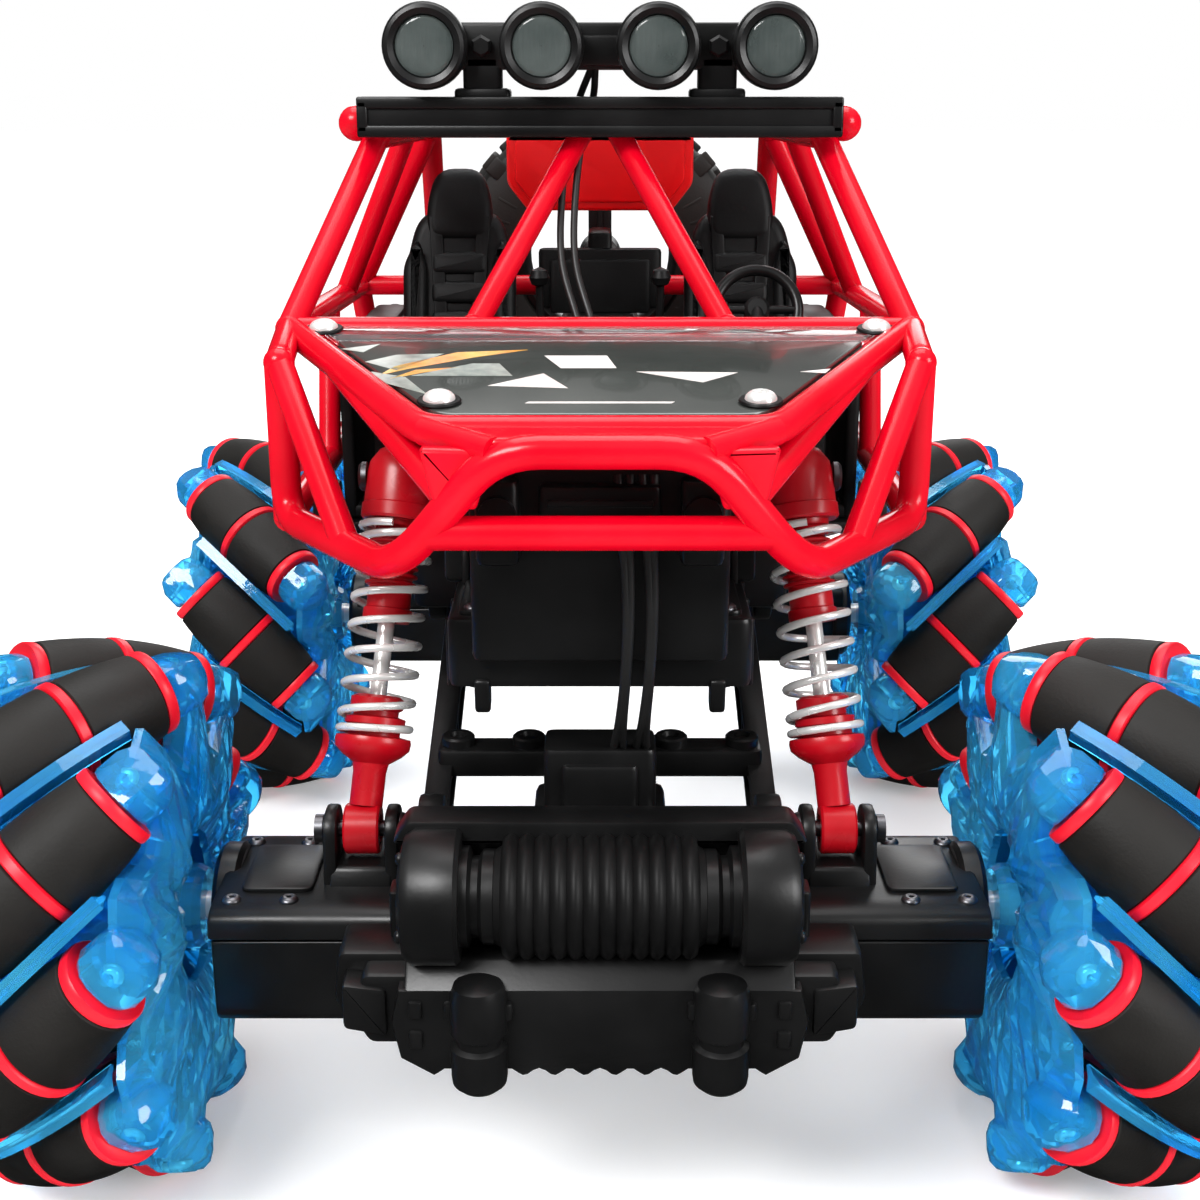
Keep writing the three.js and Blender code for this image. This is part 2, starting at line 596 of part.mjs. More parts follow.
const bulkheadBack = roof.rear - tubeRadius * 1.15 - gap;
const bulkheadTop = roof.z - 3;
const bulkhead = { half: 24.5, chamfer: 5.5, side: 190, bottom: 183, depth: 5 };
addPiece('rear_bulkhead', geometryOf(panel([[-bulkhead.half, bulkheadTop], [-bulkhead.half, bulkhead.side],
  [bulkhead.chamfer - bulkhead.half, bulkhead.bottom], [bulkhead.half - bulkhead.chamfer, bulkhead.bottom],
  [bulkhead.half, bulkhead.side], [bulkhead.half, bulkheadTop]],
bulkheadBack - bulkhead.depth, bulkheadBack)), red);

// Spare wheel on the tail

const spareRadius = 43;
const spareY = axleY + 5;
const spareZ = trayTop + spareRadius + 2;
const spareHalf = 10;
addPiece('spare_wheel', geometryOf(turned([[0, -spareHalf + 5], [14, -spareHalf + 5],
  [22, -spareHalf + 2], [24, -spareHalf], [39, -spareHalf], [spareRadius, -spareHalf + 4],
  [spareRadius, spareHalf - 4], [39, spareHalf], [24, spareHalf], [20, spareHalf - 4],
  [0, spareHalf - 4]], at(0, spareY, spareZ), at(0, spareY + 1, spareZ), 20)), rubber);

export default group;
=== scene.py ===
import json
import math
import bpy
import numpy as np
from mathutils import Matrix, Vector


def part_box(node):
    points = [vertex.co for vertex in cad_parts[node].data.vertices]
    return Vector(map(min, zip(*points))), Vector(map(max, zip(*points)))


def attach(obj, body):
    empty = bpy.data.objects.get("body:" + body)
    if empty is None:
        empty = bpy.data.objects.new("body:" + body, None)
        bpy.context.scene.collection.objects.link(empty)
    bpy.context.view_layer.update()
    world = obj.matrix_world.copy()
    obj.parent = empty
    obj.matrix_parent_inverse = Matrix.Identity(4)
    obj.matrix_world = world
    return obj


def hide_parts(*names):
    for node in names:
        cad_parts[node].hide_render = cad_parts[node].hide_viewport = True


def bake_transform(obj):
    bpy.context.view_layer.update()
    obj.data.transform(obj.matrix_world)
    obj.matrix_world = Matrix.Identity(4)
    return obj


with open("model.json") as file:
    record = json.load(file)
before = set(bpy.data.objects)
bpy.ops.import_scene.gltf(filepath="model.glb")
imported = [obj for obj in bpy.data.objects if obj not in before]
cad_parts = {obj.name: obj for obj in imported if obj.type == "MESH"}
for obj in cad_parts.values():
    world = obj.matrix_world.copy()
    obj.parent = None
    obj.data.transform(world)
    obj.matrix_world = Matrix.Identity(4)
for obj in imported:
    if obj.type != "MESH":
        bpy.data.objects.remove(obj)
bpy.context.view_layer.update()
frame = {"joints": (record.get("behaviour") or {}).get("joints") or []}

mm = 0.001  # every shape below is worked out in millimetres
joints = {joint["name"]: joint for joint in frame["joints"]}
corners = ("front_left", "front_right", "rear_left", "rear_right")


# where a joint stands, in millimetres
def place(jointName):
    return np.array(joints[jointName]["pos_m"]) / mm


# a CAD node's low and high corners, in millimetres
def boxOf(node):
    low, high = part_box(node)
    return np.array(low) / mm, np.array(high) / mm


# a shape is (points, [face arrays])

# v over its length
def unit(v):
    v = np.asarray(v, float)
    return v / np.maximum(np.linalg.norm(v, axis=-1, keepdims=True), 1e-12)


# quads between neighbouring rows and columns of a grid of points
def gridQuads(rows, cols, wrapRows=False, wrapCols=False):
    i = np.arange(rows if wrapRows else rows - 1)[:, None]
    j = np.arange(cols if wrapCols else cols - 1)[None, :]
    nextRow, nextCol = (i + 1) % rows, (j + 1) % cols
    quads = [i * cols + j, i * cols + nextCol, nextRow * cols + nextCol, nextRow * cols + j]
    return np.stack(np.broadcast_arrays(*quads), -1).reshape(-1, 4)


# points end to end, each shape's face numbers raised by the points before it
def joined(*shapes):
    points, faces, start = [], [], 0
    for shapePoints, shapeFaces in shapes:
        points.append(shapePoints)
        faces += [part + start for part in shapeFaces]
        start += len(shapePoints)
    return np.concatenate(points), faces


# every point + offset
def moved(shape, offset):
    return shape[0] + np.asarray(offset, float), shape[1]


# x becomes -x, and the faces are read the other way round
def mirrored(shape):
    return shape[0] * [-1, 1, 1], [part[:, ::-1] for part in shape[1]]


# half a turn about the upright axis: (x, y) becomes (-x, -y)
def halfTurned(shape):
    return shape[0] * [-1, -1, 1], shape[1]


# rear shapes are the front ones after half a turn
def facing(end, shape):
    return shape if end == "front" else halfTurned(shape)


# from a to b on one side of the middle, smaller value first
def spanOn(side, a, b):
    return min(side * a, side * b), max(side * a, side * b)


# each inner corner of a path or outline becomes an arc: (1-t)^2 a + 2t(1-t) corner + t^2 b
def rounded(points, radius, steps=6, closed=False):
    points = np.asarray(points, float)
    before, after = np.roll(points, 1, 0), np.roll(points, -1, 0)
    reach = np.broadcast_to(np.asarray(radius, float), len(points))
    back, ahead = before - points, after - points
    cutBack = np.minimum(reach, 0.48 * np.linalg.norm(back, axis=1))
    cutAhead = np.minimum(reach, 0.48 * np.linalg.norm(ahead, axis=1))
    a = points + unit(back) * cutBack[:, None]
    b = points + unit(ahead) * cutAhead[:, None]
    t = np.linspace(0, 1, steps)[None, :, None]
    arcs = (1 - t) ** 2 * a[:, None] + 2 * t * (1 - t) * points[:, None] + t ** 2 * b[:, None]
    if closed:
        return arcs.reshape(-1, points.shape[1])
    return np.concatenate([points[:1], arcs[1:-1].reshape(-1, points.shape[1]), points[-1:]])


# a section of radius r(angle) carried along a path: path + r (cos normal + sin binormal)
def tube(path, radius, sides=14, closed=False):
    path = np.asarray(path, float)
    if closed:
        tangent = unit(np.roll(path, -1, 0) - np.roll(path, 1, 0))
    else:
        tangent = unit(np.gradient(path, axis=0))
    choices = np.eye(3)
    along = choices[np.argmin(np.abs(tangent @ choices).max(0))]
    normal = unit(along - (tangent @ along)[:, None] * tangent)
    binormal = np.cross(tangent, normal)
    angle = np.linspace(0, 2 * np.pi, sides, endpoint=False)[None, :, None]
    size = np.broadcast_to(np.asarray(radius, float), len(path))[:, None, None]
    section = np.cos(angle) * normal[:, None] + np.sin(angle) * binormal[:, None]
    points = path[:, None] + size * section
    rows = len(path)
    faces = [gridQuads(rows, sides, closed, True)]
    if not closed:
        ring = np.arange(sides)
        faces += [ring[None, ::-1], ring[None, :] + (rows - 1) * sides]
    return points.reshape(-1, 3), faces


# radius and height pairs turned about an axis: origin + h axis + r (cos a + sin b)
def turned(profile, origin, axis, sides=32, closed=False):
    profile = np.asarray(profile, float)
    axis = unit(axis)
    helper = np.eye(3)[np.argmin(np.abs(axis))]
    across = unit(np.cross(axis, helper))
    other = np.cross(axis, across)
    angle = np.linspace(0, 2 * np.pi, sides, endpoint=False)[:, None]
    circle = np.cos(angle) * across + np.sin(angle) * other
    body = profile if closed else profile[1:-1]
    points = origin + body[:, None, 1:] * axis + body[:, None, :1] * circle[None]
    points = points.reshape(-1, 3)
    rows = len(body)
    faces = [gridQuads(rows, sides, closed, True)]
    if not closed:
        ring, count = np.arange(sides), len(points)
        ends = np.array([origin + profile[0, 1] * axis, origin + profile[-1, 1] * axis])
        points = np.concatenate([points, ends])
        turn = np.roll(ring, -1)
        last = (rows - 1) * sides
        faces.append(np.stack([np.full(sides, count), turn, ring], 1))
        faces.append(np.stack([np.full(sides, count + 1), last + ring, last + turn], 1))
    return points, faces


# an outline moved inwards by a distance, along its corners' mitres
def inset(outline, distance):
    ahead = unit(np.roll(outline, -1, 0) - outline)
    behind = np.roll(ahead, 1, 0)
    normalAhead = np.stack([-ahead[:, 1], ahead[:, 0]], 1)
    normalBehind = np.stack([-behind[:, 1], behind[:, 0]], 1)
    mitre = unit(normalAhead + normalBehind)
    stretch = np.clip((mitre * normalAhead).sum(1), 0.5, 1)
    return outline + mitre * (distance / stretch)[:, None]


# a closed outline carried from one level to another along an axis, its two rims bevelled
def slab(outline, low, high, axes="yzx", bevel=0.6, bevelSteps=2):
    outline = np.asarray(outline, float)
    x, y = outline.T
    area = np.sum(x * np.roll(y, -1) - y * np.roll(x, -1))
    if area < 0:
        outline = outline[::-1]
    bevel = min(bevel, 0.45 * (high - low))
    angle = np.linspace(0, np.pi / 2, bevelSteps + 1)
    insets = np.concatenate([bevel * (1 - np.sin(angle)), bevel * (1 - np.sin(angle[::-1]))])
    levels = np.concatenate([low + bevel * (1 - np.cos(angle)), high - bevel * (1 - np.cos(angle[::-1]))])
    rings = np.stack([inset(outline, d) for d in insets])
    local = np.concatenate([rings, np.broadcast_to(levels[:, None, None], rings.shape[:2] + (1,))], 2)
    local = local.reshape(-1, 3)
    points = np.empty_like(local)
    for column, name in enumerate(axes):
        points[:, "xyz".index(name)] = local[:, column]
    count, rows = len(outline), len(levels)
    ring = np.arange(count)
    faces = [gridQuads(rows, count, False, True), ring[::-1][None, :].copy(),
             (ring + (rows - 1) * count)[None, :]]
    if axes in ("xzy", "zyx", "yxz"):
        faces = [part[:, ::-1] for part in faces]
    return points, faces


# a box: a rectangle with rounded corners carried from z0 to z1, its rims bevelled
def block(x0, x1, y0, y1, z0, z1, radius=1.2, bevel=0.6):
    outline = rounded([(x0, y0), (x1, y0), (x1, y1), (x0, y1)], radius, 4, True)
    return slab(outline, z0, z1, "xyz", bevel)


# a straight tube: start + t (end - start)
def rodBetween(start, end, radius, sides=14):
    start, end = np.asarray(start, float), np.asarray(end, float)
    return tube(np.linspace(start, end, 2), radius, sides)


# a round-headed screw: dome, drive recess as a sunk ring, shank stub below
def screw(origin, axis, radius=3.0, height=1.8):
    t = np.linspace(0, 1, 7)
    bend = t[:-1] * np.pi / 2.6
    dome = np.stack([radius * np.cos(bend), height * np.sin(bend) / 0.94], 1)
    width, top = dome[-1]
    recess = [(width * 0.92, top), (radius * 0.26, top - 0.1), (radius * 0.22, top - 0.75), (0, top - 0.8)]
    profile = np.concatenate([[(0, -0.6), (radius * 0.96, -0.6), (radius, -0.1)], dome, recess])
    return turned(profile, np.asarray(origin, float), axis, 24)


# a shape's faces are turned over where its volume, from fans of triangles, comes out negative
def outward(shape):
    points, faces = shape
    middle = points.mean(0)
    volume = 0.0
    for part in faces:
        first = points[part[:, 0]] - middle
        for k in range(1, part.shape[1] - 1):
            second, third = points[part[:, k]] - middle, points[part[:, k + 1]] - middle
            volume += np.einsum("ij,ij->", first, np.cross(second, third))
    return (points, [part[:, ::-1] for part in faces]) if volume < 0 else shape


# shapes become one mesh in metres, with a material number for each face, hung on its body
def makePiece(name, parts, materials, body, nodes=(), smoothBelow=38):
    parts = [(outward(shape), index) for shape, index in parts]
    points, faces = joined(*[shape for shape, index in parts])
    mesh = bpy.data.meshes.new(name)
    mesh.from_pydata((points * mm).tolist(), [], sum((part.tolist() for part in faces), []))
    counts = [sum(len(part) for part in shape[1]) for shape, index in parts]
    which = np.repeat([index for shape, index in parts], counts)
    mesh.polygons.foreach_set("material_index", which.astype(np.int32))
    mesh.update()
    for material in materials:
        mesh.materials.append(material)
    if smoothBelow:
        mesh.shade_smooth()
        mesh.set_sharp_from_angle(angle=math.radians(smoothBelow))
    piece = bpy.data.objects.new(name, mesh)
    bpy.context.scene.collection.objects.link(piece)
    if body:
        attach(piece, body)
    if nodes:
        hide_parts(*nodes)
    return piece


# a piece of one material
def single(name, shapes, material, body, nodes=(), smoothBelow=38):
    return makePiece(name, [(shape, 0) for shape in shapes], [material], body, nodes, smoothBelow)


# colour moves between two tones with noise, roughness likewise, and fine noise lifts the surface
def finish(name, tones, roughness, grain=(900, 0.08, 0.02), blotch=60, metallic=0.0, **sockets):
    material = bpy.data.materials.new(name)
    material.use_nodes = True
    nodes, links = material.node_tree.nodes, material.node_tree.links
    shader = nodes["Principled BSDF"]
    where = nodes.new("ShaderNodeTexCoord")
    patches = nodes.new("ShaderNodeTexNoise")
    patches.inputs["Scale"].default_value = blotch
    patches.inputs["Detail"].default_value = 5
    links.new(where.outputs["Object"], patches.inputs["Vector"])
    ramp = nodes.new("ShaderNodeValToRGB")
    ramp.color_ramp.elements[0].position = 0.3
    ramp.color_ramp.elements[1].position = 0.7
    ramp.color_ramp.elements[0].color = (*tones[0], 1)
    ramp.color_ramp.elements[1].color = (*tones[1], 1)
    links.new(patches.outputs["Fac"], ramp.inputs["Fac"])
    links.new(ramp.outputs["Color"], shader.inputs["Base Color"])
    shine = nodes.new("ShaderNodeMapRange")
    shine.inputs["From Min"].default_value = 0.3
    shine.inputs["From Max"].default_value = 0.7
    shine.inputs["To Min"].default_value = roughness[0]
    shine.inputs["To Max"].default_value = roughness[1]
    links.new(patches.outputs["Fac"], shine.inputs["Value"])
    links.new(shine.outputs["Result"], shader.inputs["Roughness"])
    fine = nodes.new("ShaderNodeTexNoise")
    fine.inputs["Scale"].default_value = grain[0]
    fine.inputs["Detail"].default_value = 4
    links.new(where.outputs["Object"], fine.inputs["Vector"])
    bump = nodes.new("ShaderNodeBump")
    bump.inputs["Strength"].default_value = grain[1]
    bump.inputs["Distance"].default_value = grain[2] * mm
    links.new(fine.outputs["Fac"], bump.inputs["Height"])
    links.new(bump.outputs["Normal"], shader.inputs["Normal"])
    shader.inputs["Metallic"].default_value = metallic
    for socket, value in sockets.items():
        shader.inputs[socket.replace("_", " ")].default_value = value
    return material


print("finishes")
cageRed = finish("cageRed", ((0.47, 0.0004, 0.008), (0.55, 0.0008, 0.011)), (0.16, 0.24), (260, 0.25, 0.05),
                 Specular_IOR_Level=0.27)
# panel red: the panel's own red, with its base raised well above the cage's red as painted light where the
# spare wheel shades the panel
panelLitRed = finish("panelLitRed", ((0.80, 0.001, 0.003), (0.88, 0.002, 0.005)), (0.3, 0.4), (260, 0.2, 0.04),
                  Specular_IOR_Level=0.3)
# shock red: darker than the cage's red, as painted shade from the cage above, on the shock sleeves and feet
shockShadedRed = finish("shockShadedRed", ((0.30, 0.0012, 0.005), (0.40, 0.002, 0.008)), (0.24, 0.34), (700, 0.3, 0.04),
                  Specular_IOR_Level=0.35)
rollerRed = finish("rollerRed", ((0.58, 0.003, 0.014), (0.70, 0.005, 0.019)), (0.33, 0.42),
                   (600, 0.2, 0.03),
                   Specular_IOR_Level=0.3)
mouldedBlack = finish("mouldedBlack", ((0.0030, 0.0030, 0.0031), (0.0055, 0.0055, 0.0056)), (0.28, 0.40),
                      (1400, 0.35, 0.05),
                      Specular_IOR_Level=0.34)
satinBlack = finish("satinBlack", ((0.0022, 0.0022, 0.0023), (0.0045, 0.0044, 0.0045)), (0.45, 0.58),
                    (1100, 0.5, 0.06),
                    Specular_IOR_Level=0.2)
rollerRubber = finish("rollerRubber", ((0.0055, 0.0048, 0.004), (0.0095, 0.0083, 0.007)), (0.55, 0.72),
                      (1500, 0.8, 0.08),
                      Specular_IOR_Level=0.3)
hubBlue = finish("hubBlue", ((0.012, 0.38, 0.88), (0.10, 0.66, 0.97)), (0.03, 0.09), (220, 0.4, 0.2), 42,
                 Transmission_Weight=0.8, IOR=1.45)
springSteel = finish("springSteel", ((0.74, 0.73, 0.71), (0.9, 0.89, 0.87)), (0.2, 0.32),
                     (1600, 0.2, 0.02), metallic=0.55)
darkSteel = finish("darkSteel", ((0.10, 0.10, 0.11), (0.2, 0.2, 0.21)), (0.3, 0.42), (1300, 0.3, 0.03),
                   metallic=1.0)
sheetPrint = finish("sheetPrint", ((0.026, 0.029, 0.027), (0.044, 0.047, 0.043)), (0.12, 0.2),
                    (240, 0.12, 0.03), 30,
                    Coat_Weight=0.5, Coat_Roughness=0.04)
clearSheet = finish("clearSheet", ((0.82, 0.84, 0.85), (0.9, 0.91, 0.92)), (0.04, 0.09), (200, 0.1, 0.02),
                    20,
                    Transmission_Weight=0.97, IOR=1.46)
printGrey = finish("printGrey", ((0.12, 0.145, 0.13), (0.26, 0.29, 0.26)), (0.18, 0.25), (300, 0.1, 0.02),
                   260)
printWhite = finish("printWhite", ((0.50, 0.47, 0.45), (0.64, 0.60, 0.58)), (0.16, 0.22), (300, 0.1, 0.02),
                    120)
printOrange = finish("printOrange", ((0.55, 0.12, 0.02), (0.42, 0.38, 0.06)), (0.18, 0.25),
                     (300, 0.1, 0.02), 90)
lampGlass = finish("lampGlass", ((0.035, 0.045, 0.043), (0.085, 0.10, 0.096)), (0.08, 0.16),
                   (300, 0.1, 0.02), 80,
                   Transmission_Weight=0.3, IOR=1.5)
lampSilver = finish("lampSilver", ((0.2, 0.22, 0.22), (0.34, 0.36, 0.36)), (0.2, 0.32), (900, 0.2, 0.03),
                    metallic=0.9)
wireSkin = finish("wireSkin", ((0.006, 0.006, 0.006), (0.011, 0.011, 0.011)), (0.4, 0.5), (1200, 0.2, 0.02))
cellWrap = finish("cellWrap", ((0.02, 0.05, 0.26), (0.03, 0.08, 0.36)), (0.25, 0.35), (300, 0.2, 0.05))

print("wheels")
wheelSize = dict(radius=55, rollerCircle=44.4, rollers=9, pinHalf=24.2, pinRadius=1.5)
rollerSize = dict(half=20.0, endRing=2.4, midRing=1.15, rubber=2.3, bore=2.2, boss=5.4, sides=36)
cupSize = dict(start=20.35, mouth=6.7, belly=7.1, tip=5.6, reach=29.5, wall=1.1, plane=23.6, rim=52.6,
               middle=23, screwCircle=50.6)
ribSize = dict(half=18.5, lift=47.9, sag=0.004, rows=9,
               section=((-0.3, -2.1), (0.3, -2.1), (0.6, 0.3), (1.5, 2.6), (-1.5, 2.6), (-0.6, 0.3)))
tilt = math.sin(math.pi / 4)  # a roller leans by an eighth of a turn


# gap between the roller's axis and the wheel's outer circle, s along the axis
def barrelRadius(s):
    return wheelSize["radius"] - np.hypot(wheelSize["rollerCircle"], np.asarray(s, float) * tilt)


# red core: barrel radius at the end rings, barrel radius - rubber under the sleeves
def rollerCore(origin, axis):
    half, ring, mid = rollerSize["half"], rollerSize["endRing"], rollerSize["midRing"]
    s = np.linspace(half - ring - 0.3, mid + 0.3, 6)
    rim = float(barrelRadius(half - ring / 2))
    edge = [(rollerSize["bore"], half), (rollerSize["boss"], half), (rollerSize["boss"] + 0.5, half - 0.3),
            (rim - 0.9, half - 0.3), (rim - 0.2, half - 0.12), (rim + 0.05, half - 0.5),
            (rim + 0.1, half - ring + 0.4), (rim - 0.1, half - ring)]
    under = np.stack([barrelRadius(s) - rollerSize["rubber"], s], 1)
    crest = float(barrelRadius(0))
    middle = [(crest - 0.3, mid), (crest + 0.12, mid - 0.35), (crest + 0.16, 0)]
    side = np.concatenate([edge, under, middle])
    other = side[::-1][1:] * [1, -1]
    return turned(np.concatenate([side, other])[::-1], origin, axis, rollerSize["sides"], True)


# rubber from the middle ring to an end ring: barrel radius outside, less its thickness inside
def rubberSleeve(origin, axis, sign):
    half, ring, mid = rollerSize["half"], rollerSize["endRing"], rollerSize["midRing"]
    s = np.linspace(mid + 0.12, half - ring - 0.1, 9)
    outer = np.stack([barrelRadius(s) - 0.12, s], 1)
    outer[[0, -1], 0] -= 0.45
    outer = np.insert(outer, [1, 8], [[float(barrelRadius(s[0] + 0.4)) - 0.14, s[0] + 0.35],
                                      [float(barrelRadius(s[-1] - 0.4)) - 0.14, s[-1] - 0.35]], axis=0)
    inner = np.stack([barrelRadius(s[[-1, 0]]) - rollerSize["rubber"] + 0.1, s[[-1, 0]]], 1)
    ringProfile = np.concatenate([outer, inner]) * [1, sign]
    if sign < 0:
        ringProfile = ringProfile[::-1]
    return turned(ringProfile, origin, axis, rollerSize["sides"], True)


# a cup round the roller's end: a profile turned about the roller's axis. A point past the hub's
# plane slides back along that axis, and a point outside the rim circle is pressed in to it.
def cup(origin, axis, centre):
    c = cupSize
    inner = [(0, 24.6), (4.4, 24.2), (5.2, 23.2), (c["mouth"] - c["wall"], c["start"])]
    outer = [(c["mouth"], c["start"]), (c["belly"], c["start"] + 0.9), (c["belly"] - 0.2, 26),
             (c["tip"], c["reach"] - 0.8),
             (c["tip"] - 1.6, c["reach"]), (0, c["reach"] + 0.4)]
    points, faces = turned(np.array(inner + outer), origin, axis, 16)
    depth = (points - centre)[:, 0] * np.sign(axis[0])
    points = points - np.maximum(depth - c["plane"], 0)[:, None] * axis / abs(axis[0])
    local = points - centre
    far = np.hypot(local[:, 1], local[:, 2])
    local[:, 1:] *= np.minimum(1, c["rim"] / np.maximum(far, 1e-6))[:, None]
    return centre + local, faces


# a hub plate's levels over the wheel's middle plane, and the radii of its star
plateSize = dict(hole=15.5, valley=33.0, tip=50.0, rim=15.2, ridge=24.4, bowl=18.5, wall=1.6, columns=8,
                 rows=7)


# star plate on a polar grid: radius = hole + u (rim radius(angle) - hole), and
# height = rim + (bowl - rim)(1 - u) + hump(u) crest(angle) (ridge - bowl)
def starPlate(centre, inward, cupAngle, lean, height, seed):
    p = {**plateSize, **height}
    rng = np.random.default_rng(seed)
    period = np.linspace(0, 1, p["columns"], endpoint=False)
    share = np.tile(period, wheelSize["rollers"])
    cups = np.repeat(np.arange(wheelSize["rollers"]), p["columns"])
    angle = cupAngle + lean * 2 * np.pi * (cups + share) / wheelSize["rollers"]
    reach = np.interp(share, [0, 0.12, 0.44, 0.54, 0.7, 0.86, 0.93, 1], [1, 1, 0.96, 0.5, 0.08, 0, 0.7, 1])
    crest = np.interp(share, [0, 0.1, 0.3, 0.5, 0.75, 1], [1, 1, 0.86, 0.55, 0.8, 1])
    crest = crest + rng.uniform(-0.08, 0.08, len(crest))
    u = np.linspace(0, 1, p["rows"])[:, None]
    radius = p["hole"] + u * (p["valley"] + reach * (p["tip"] - p["valley"]) - p["hole"])
    hump = np.interp(u, [0, 0.2, 0.4, 0.85, 1], [0.1, 0.8, 1, 0.96, 0.3])
    x = p["rim"] + (p["bowl"] - p["rim"]) * (1 - u) + hump * crest * (p["ridge"] - p["bowl"])
    odd = (np.arange(p["rows"])[:, None] + np.arange(len(share))) % 2
    x = x + 0.22 * np.where(odd, 1, -1) * hump
    top = np.stack([x, radius * np.cos(angle), radius * np.sin(angle)], -1)
    low = top - [p["wall"], 0, 0]
    grid = np.concatenate([top, low[::-1]])
    points = grid.reshape(-1, 3) * [inward, 1, 1] + centre
    faces = gridQuads(len(grid), len(share), True, True)
    return points, [faces if inward * lean > 0 else faces[:, ::-1]]


# angle about a wheel's axle, counted from straight back: atan2(z, y)
def angleRound(centre, spot):
    return math.atan2(spot[2] - centre[2], spot[1] - centre[1])


# a rib between two rollers: centre + out (lift - sag s^2) + across s, a V section carried along it
def hubRib(centre, across, out):
    r = ribSize
    s = np.linspace(-r["half"], r["half"], r["rows"])[:, None]
    line = centre + out * (r["lift"] - r["sag"] * s ** 2) + across * s
    section = np.array(r["section"])
    grid = line[:, None] + section[None, :, :1] * np.cross(across, out) + section[None, :, 1:] * out
    count = len(section)
    ends = np.arange(count)
    sides = gridQuads(r["rows"], count, False, True)[:, ::-1]
    last = ends[::-1] + (r["rows"] - 1) * count
    return grid.reshape(-1, 3), [sides, ends[None, :].copy(), last[None, :]]


# one wheel: each roller lies along its own spin axis, each cup 23 mm along that axis
def wheelPieces(corner):
    body = "wheel_" + corner
    centre = place("wheel_spin_" + corner)
    inward = -np.sign(centre[0])
    axes, middles = [], []
    for i in range(1, wheelSize["rollers"] + 1):
        name = "roller_" + corner + "_" + str(i)
        spin = joints["roller_spin_" + corner + "_" + str(i)]
        axis = unit(spin["axis"]) * np.sign(spin["axis"][0] * inward)
        middle = np.array(spin["pos_m"]) / mm
        axes.append(axis)
        middles.append(middle)
        single("core_" + name, [rollerCore(middle, axis)], rollerRed, name, [name])
        single("sleeves_" + name, [rubberSleeve(middle, axis, 1), rubberSleeve(middle, axis, -1)],
               rollerRubber, name)
    axes, middles = np.array(axes), np.array(middles)
    cupsIn = middles + cupSize["middle"] * axes
    cupsOut = middles - cupSize["middle"] * axes
    angleIn, angleOut = angleRound(centre, cupsIn[0]), angleRound(centre, cupsOut[0])
    turnSign = np.sign(np.sin(angleIn - angleRound(centre, middles[0])))
    innerPlate = starPlate(centre, inward, angleIn, turnSign, {}, 3)
    outerPlate = starPlate(centre, -inward, angleOut, -turnSign,
                           dict(hole=11.0, ridge=21.6, bowl=19.0), 5)
    single("hubPlateInner_" + corner, [innerPlate], hubBlue, body, ["wheel_hub_" + corner], 0)
    single("hubPlateOuter_" + corner, [outerPlate], hubBlue, body, (), 0)
    single("hubCupsInner_" + corner, [cup(m, a, centre) for m, a in zip(middles, axes)], hubBlue, body,
           (), 30)
    single("hubCupsOuter_" + corner, [cup(m, -a, centre) for m, a in zip(middles, axes)], hubBlue, body,
           (), 30)
    drumProfile = [(9, -16), (27.2, -16), (27.6, -15), (27.6, 15), (25.4, 17), (24.2, 15), (24.2, -12),
                   (9, -12)]
    boss = [(0, -19.5), (6, -19.5), (10.6, -18), (11.4, -15), (9, -12.1), (8.6, 20), (7.6, 21.6), (0, 21.6)]
    direction = np.array([inward, 0, 0])
    single("hubDrum_" + corner, [turned(drumProfile, centre, direction, 18, True),
                                 turned(boss, centre, direction, 18)],
           hubBlue, body, (), 0)
    ribs = []
    for i in range(wheelSize["rollers"]):
        j = (i + 1) % wheelSize["rollers"]
        out = unit((middles[i] + middles[j]) / 2 - centre)
        ribs.append(hubRib(centre, unit(axes[i] + axes[j]), out))
    single("hubRibs_" + corner, ribs, hubBlue, body, (), 0)
    reach, radius = wheelSize["pinHalf"], wheelSize["pinRadius"]
    pins = [rodBetween(m - reach * a, m + reach * a, radius, 12) for m, a in zip(middles, axes)]
    single("rollerPins_" + corner, pins, springSteel, body)
    heads = []
    for spot in np.concatenate([cupsIn, cupsOut]) - centre:
        out = unit(spot * [0, 1, 1])
        heads.append(screw(centre + out * cupSize["screwCircle"] + spot * [1, 0, 0], out, 2.3, 1.3))
    single("hubScrews_" + corner, heads, springSteel, body)
    spindle = [(0, 12), (2.9, 12), (3, 12.4), (3, 33), (2.6, 34), (0, 34)]
    nut = [(0, -23.4), (2.4, -23.4), (2.8, -22.8), (2.8, -21.6), (4.6, -21.4), (5, -20.8), (5, -18.2),
           (0, -18.2)]
    single("spindle_" + corner, [turned(spindle, centre, direction, 20), turned(nut, centre, direction, 6)],
           springSteel, body, (), 30)


for corner in corners:
    wheelPieces(corner)

print("axles")
axleSize = dict(bottom=42, lidSeam=60.4, top=66, front=25, back=12, end=74.5, flange=13, armIn=30,
                armWidth=5)
wheelY = abs(place("wheel_spin_front_left")[1])
pivot = place("front_axle_swing")


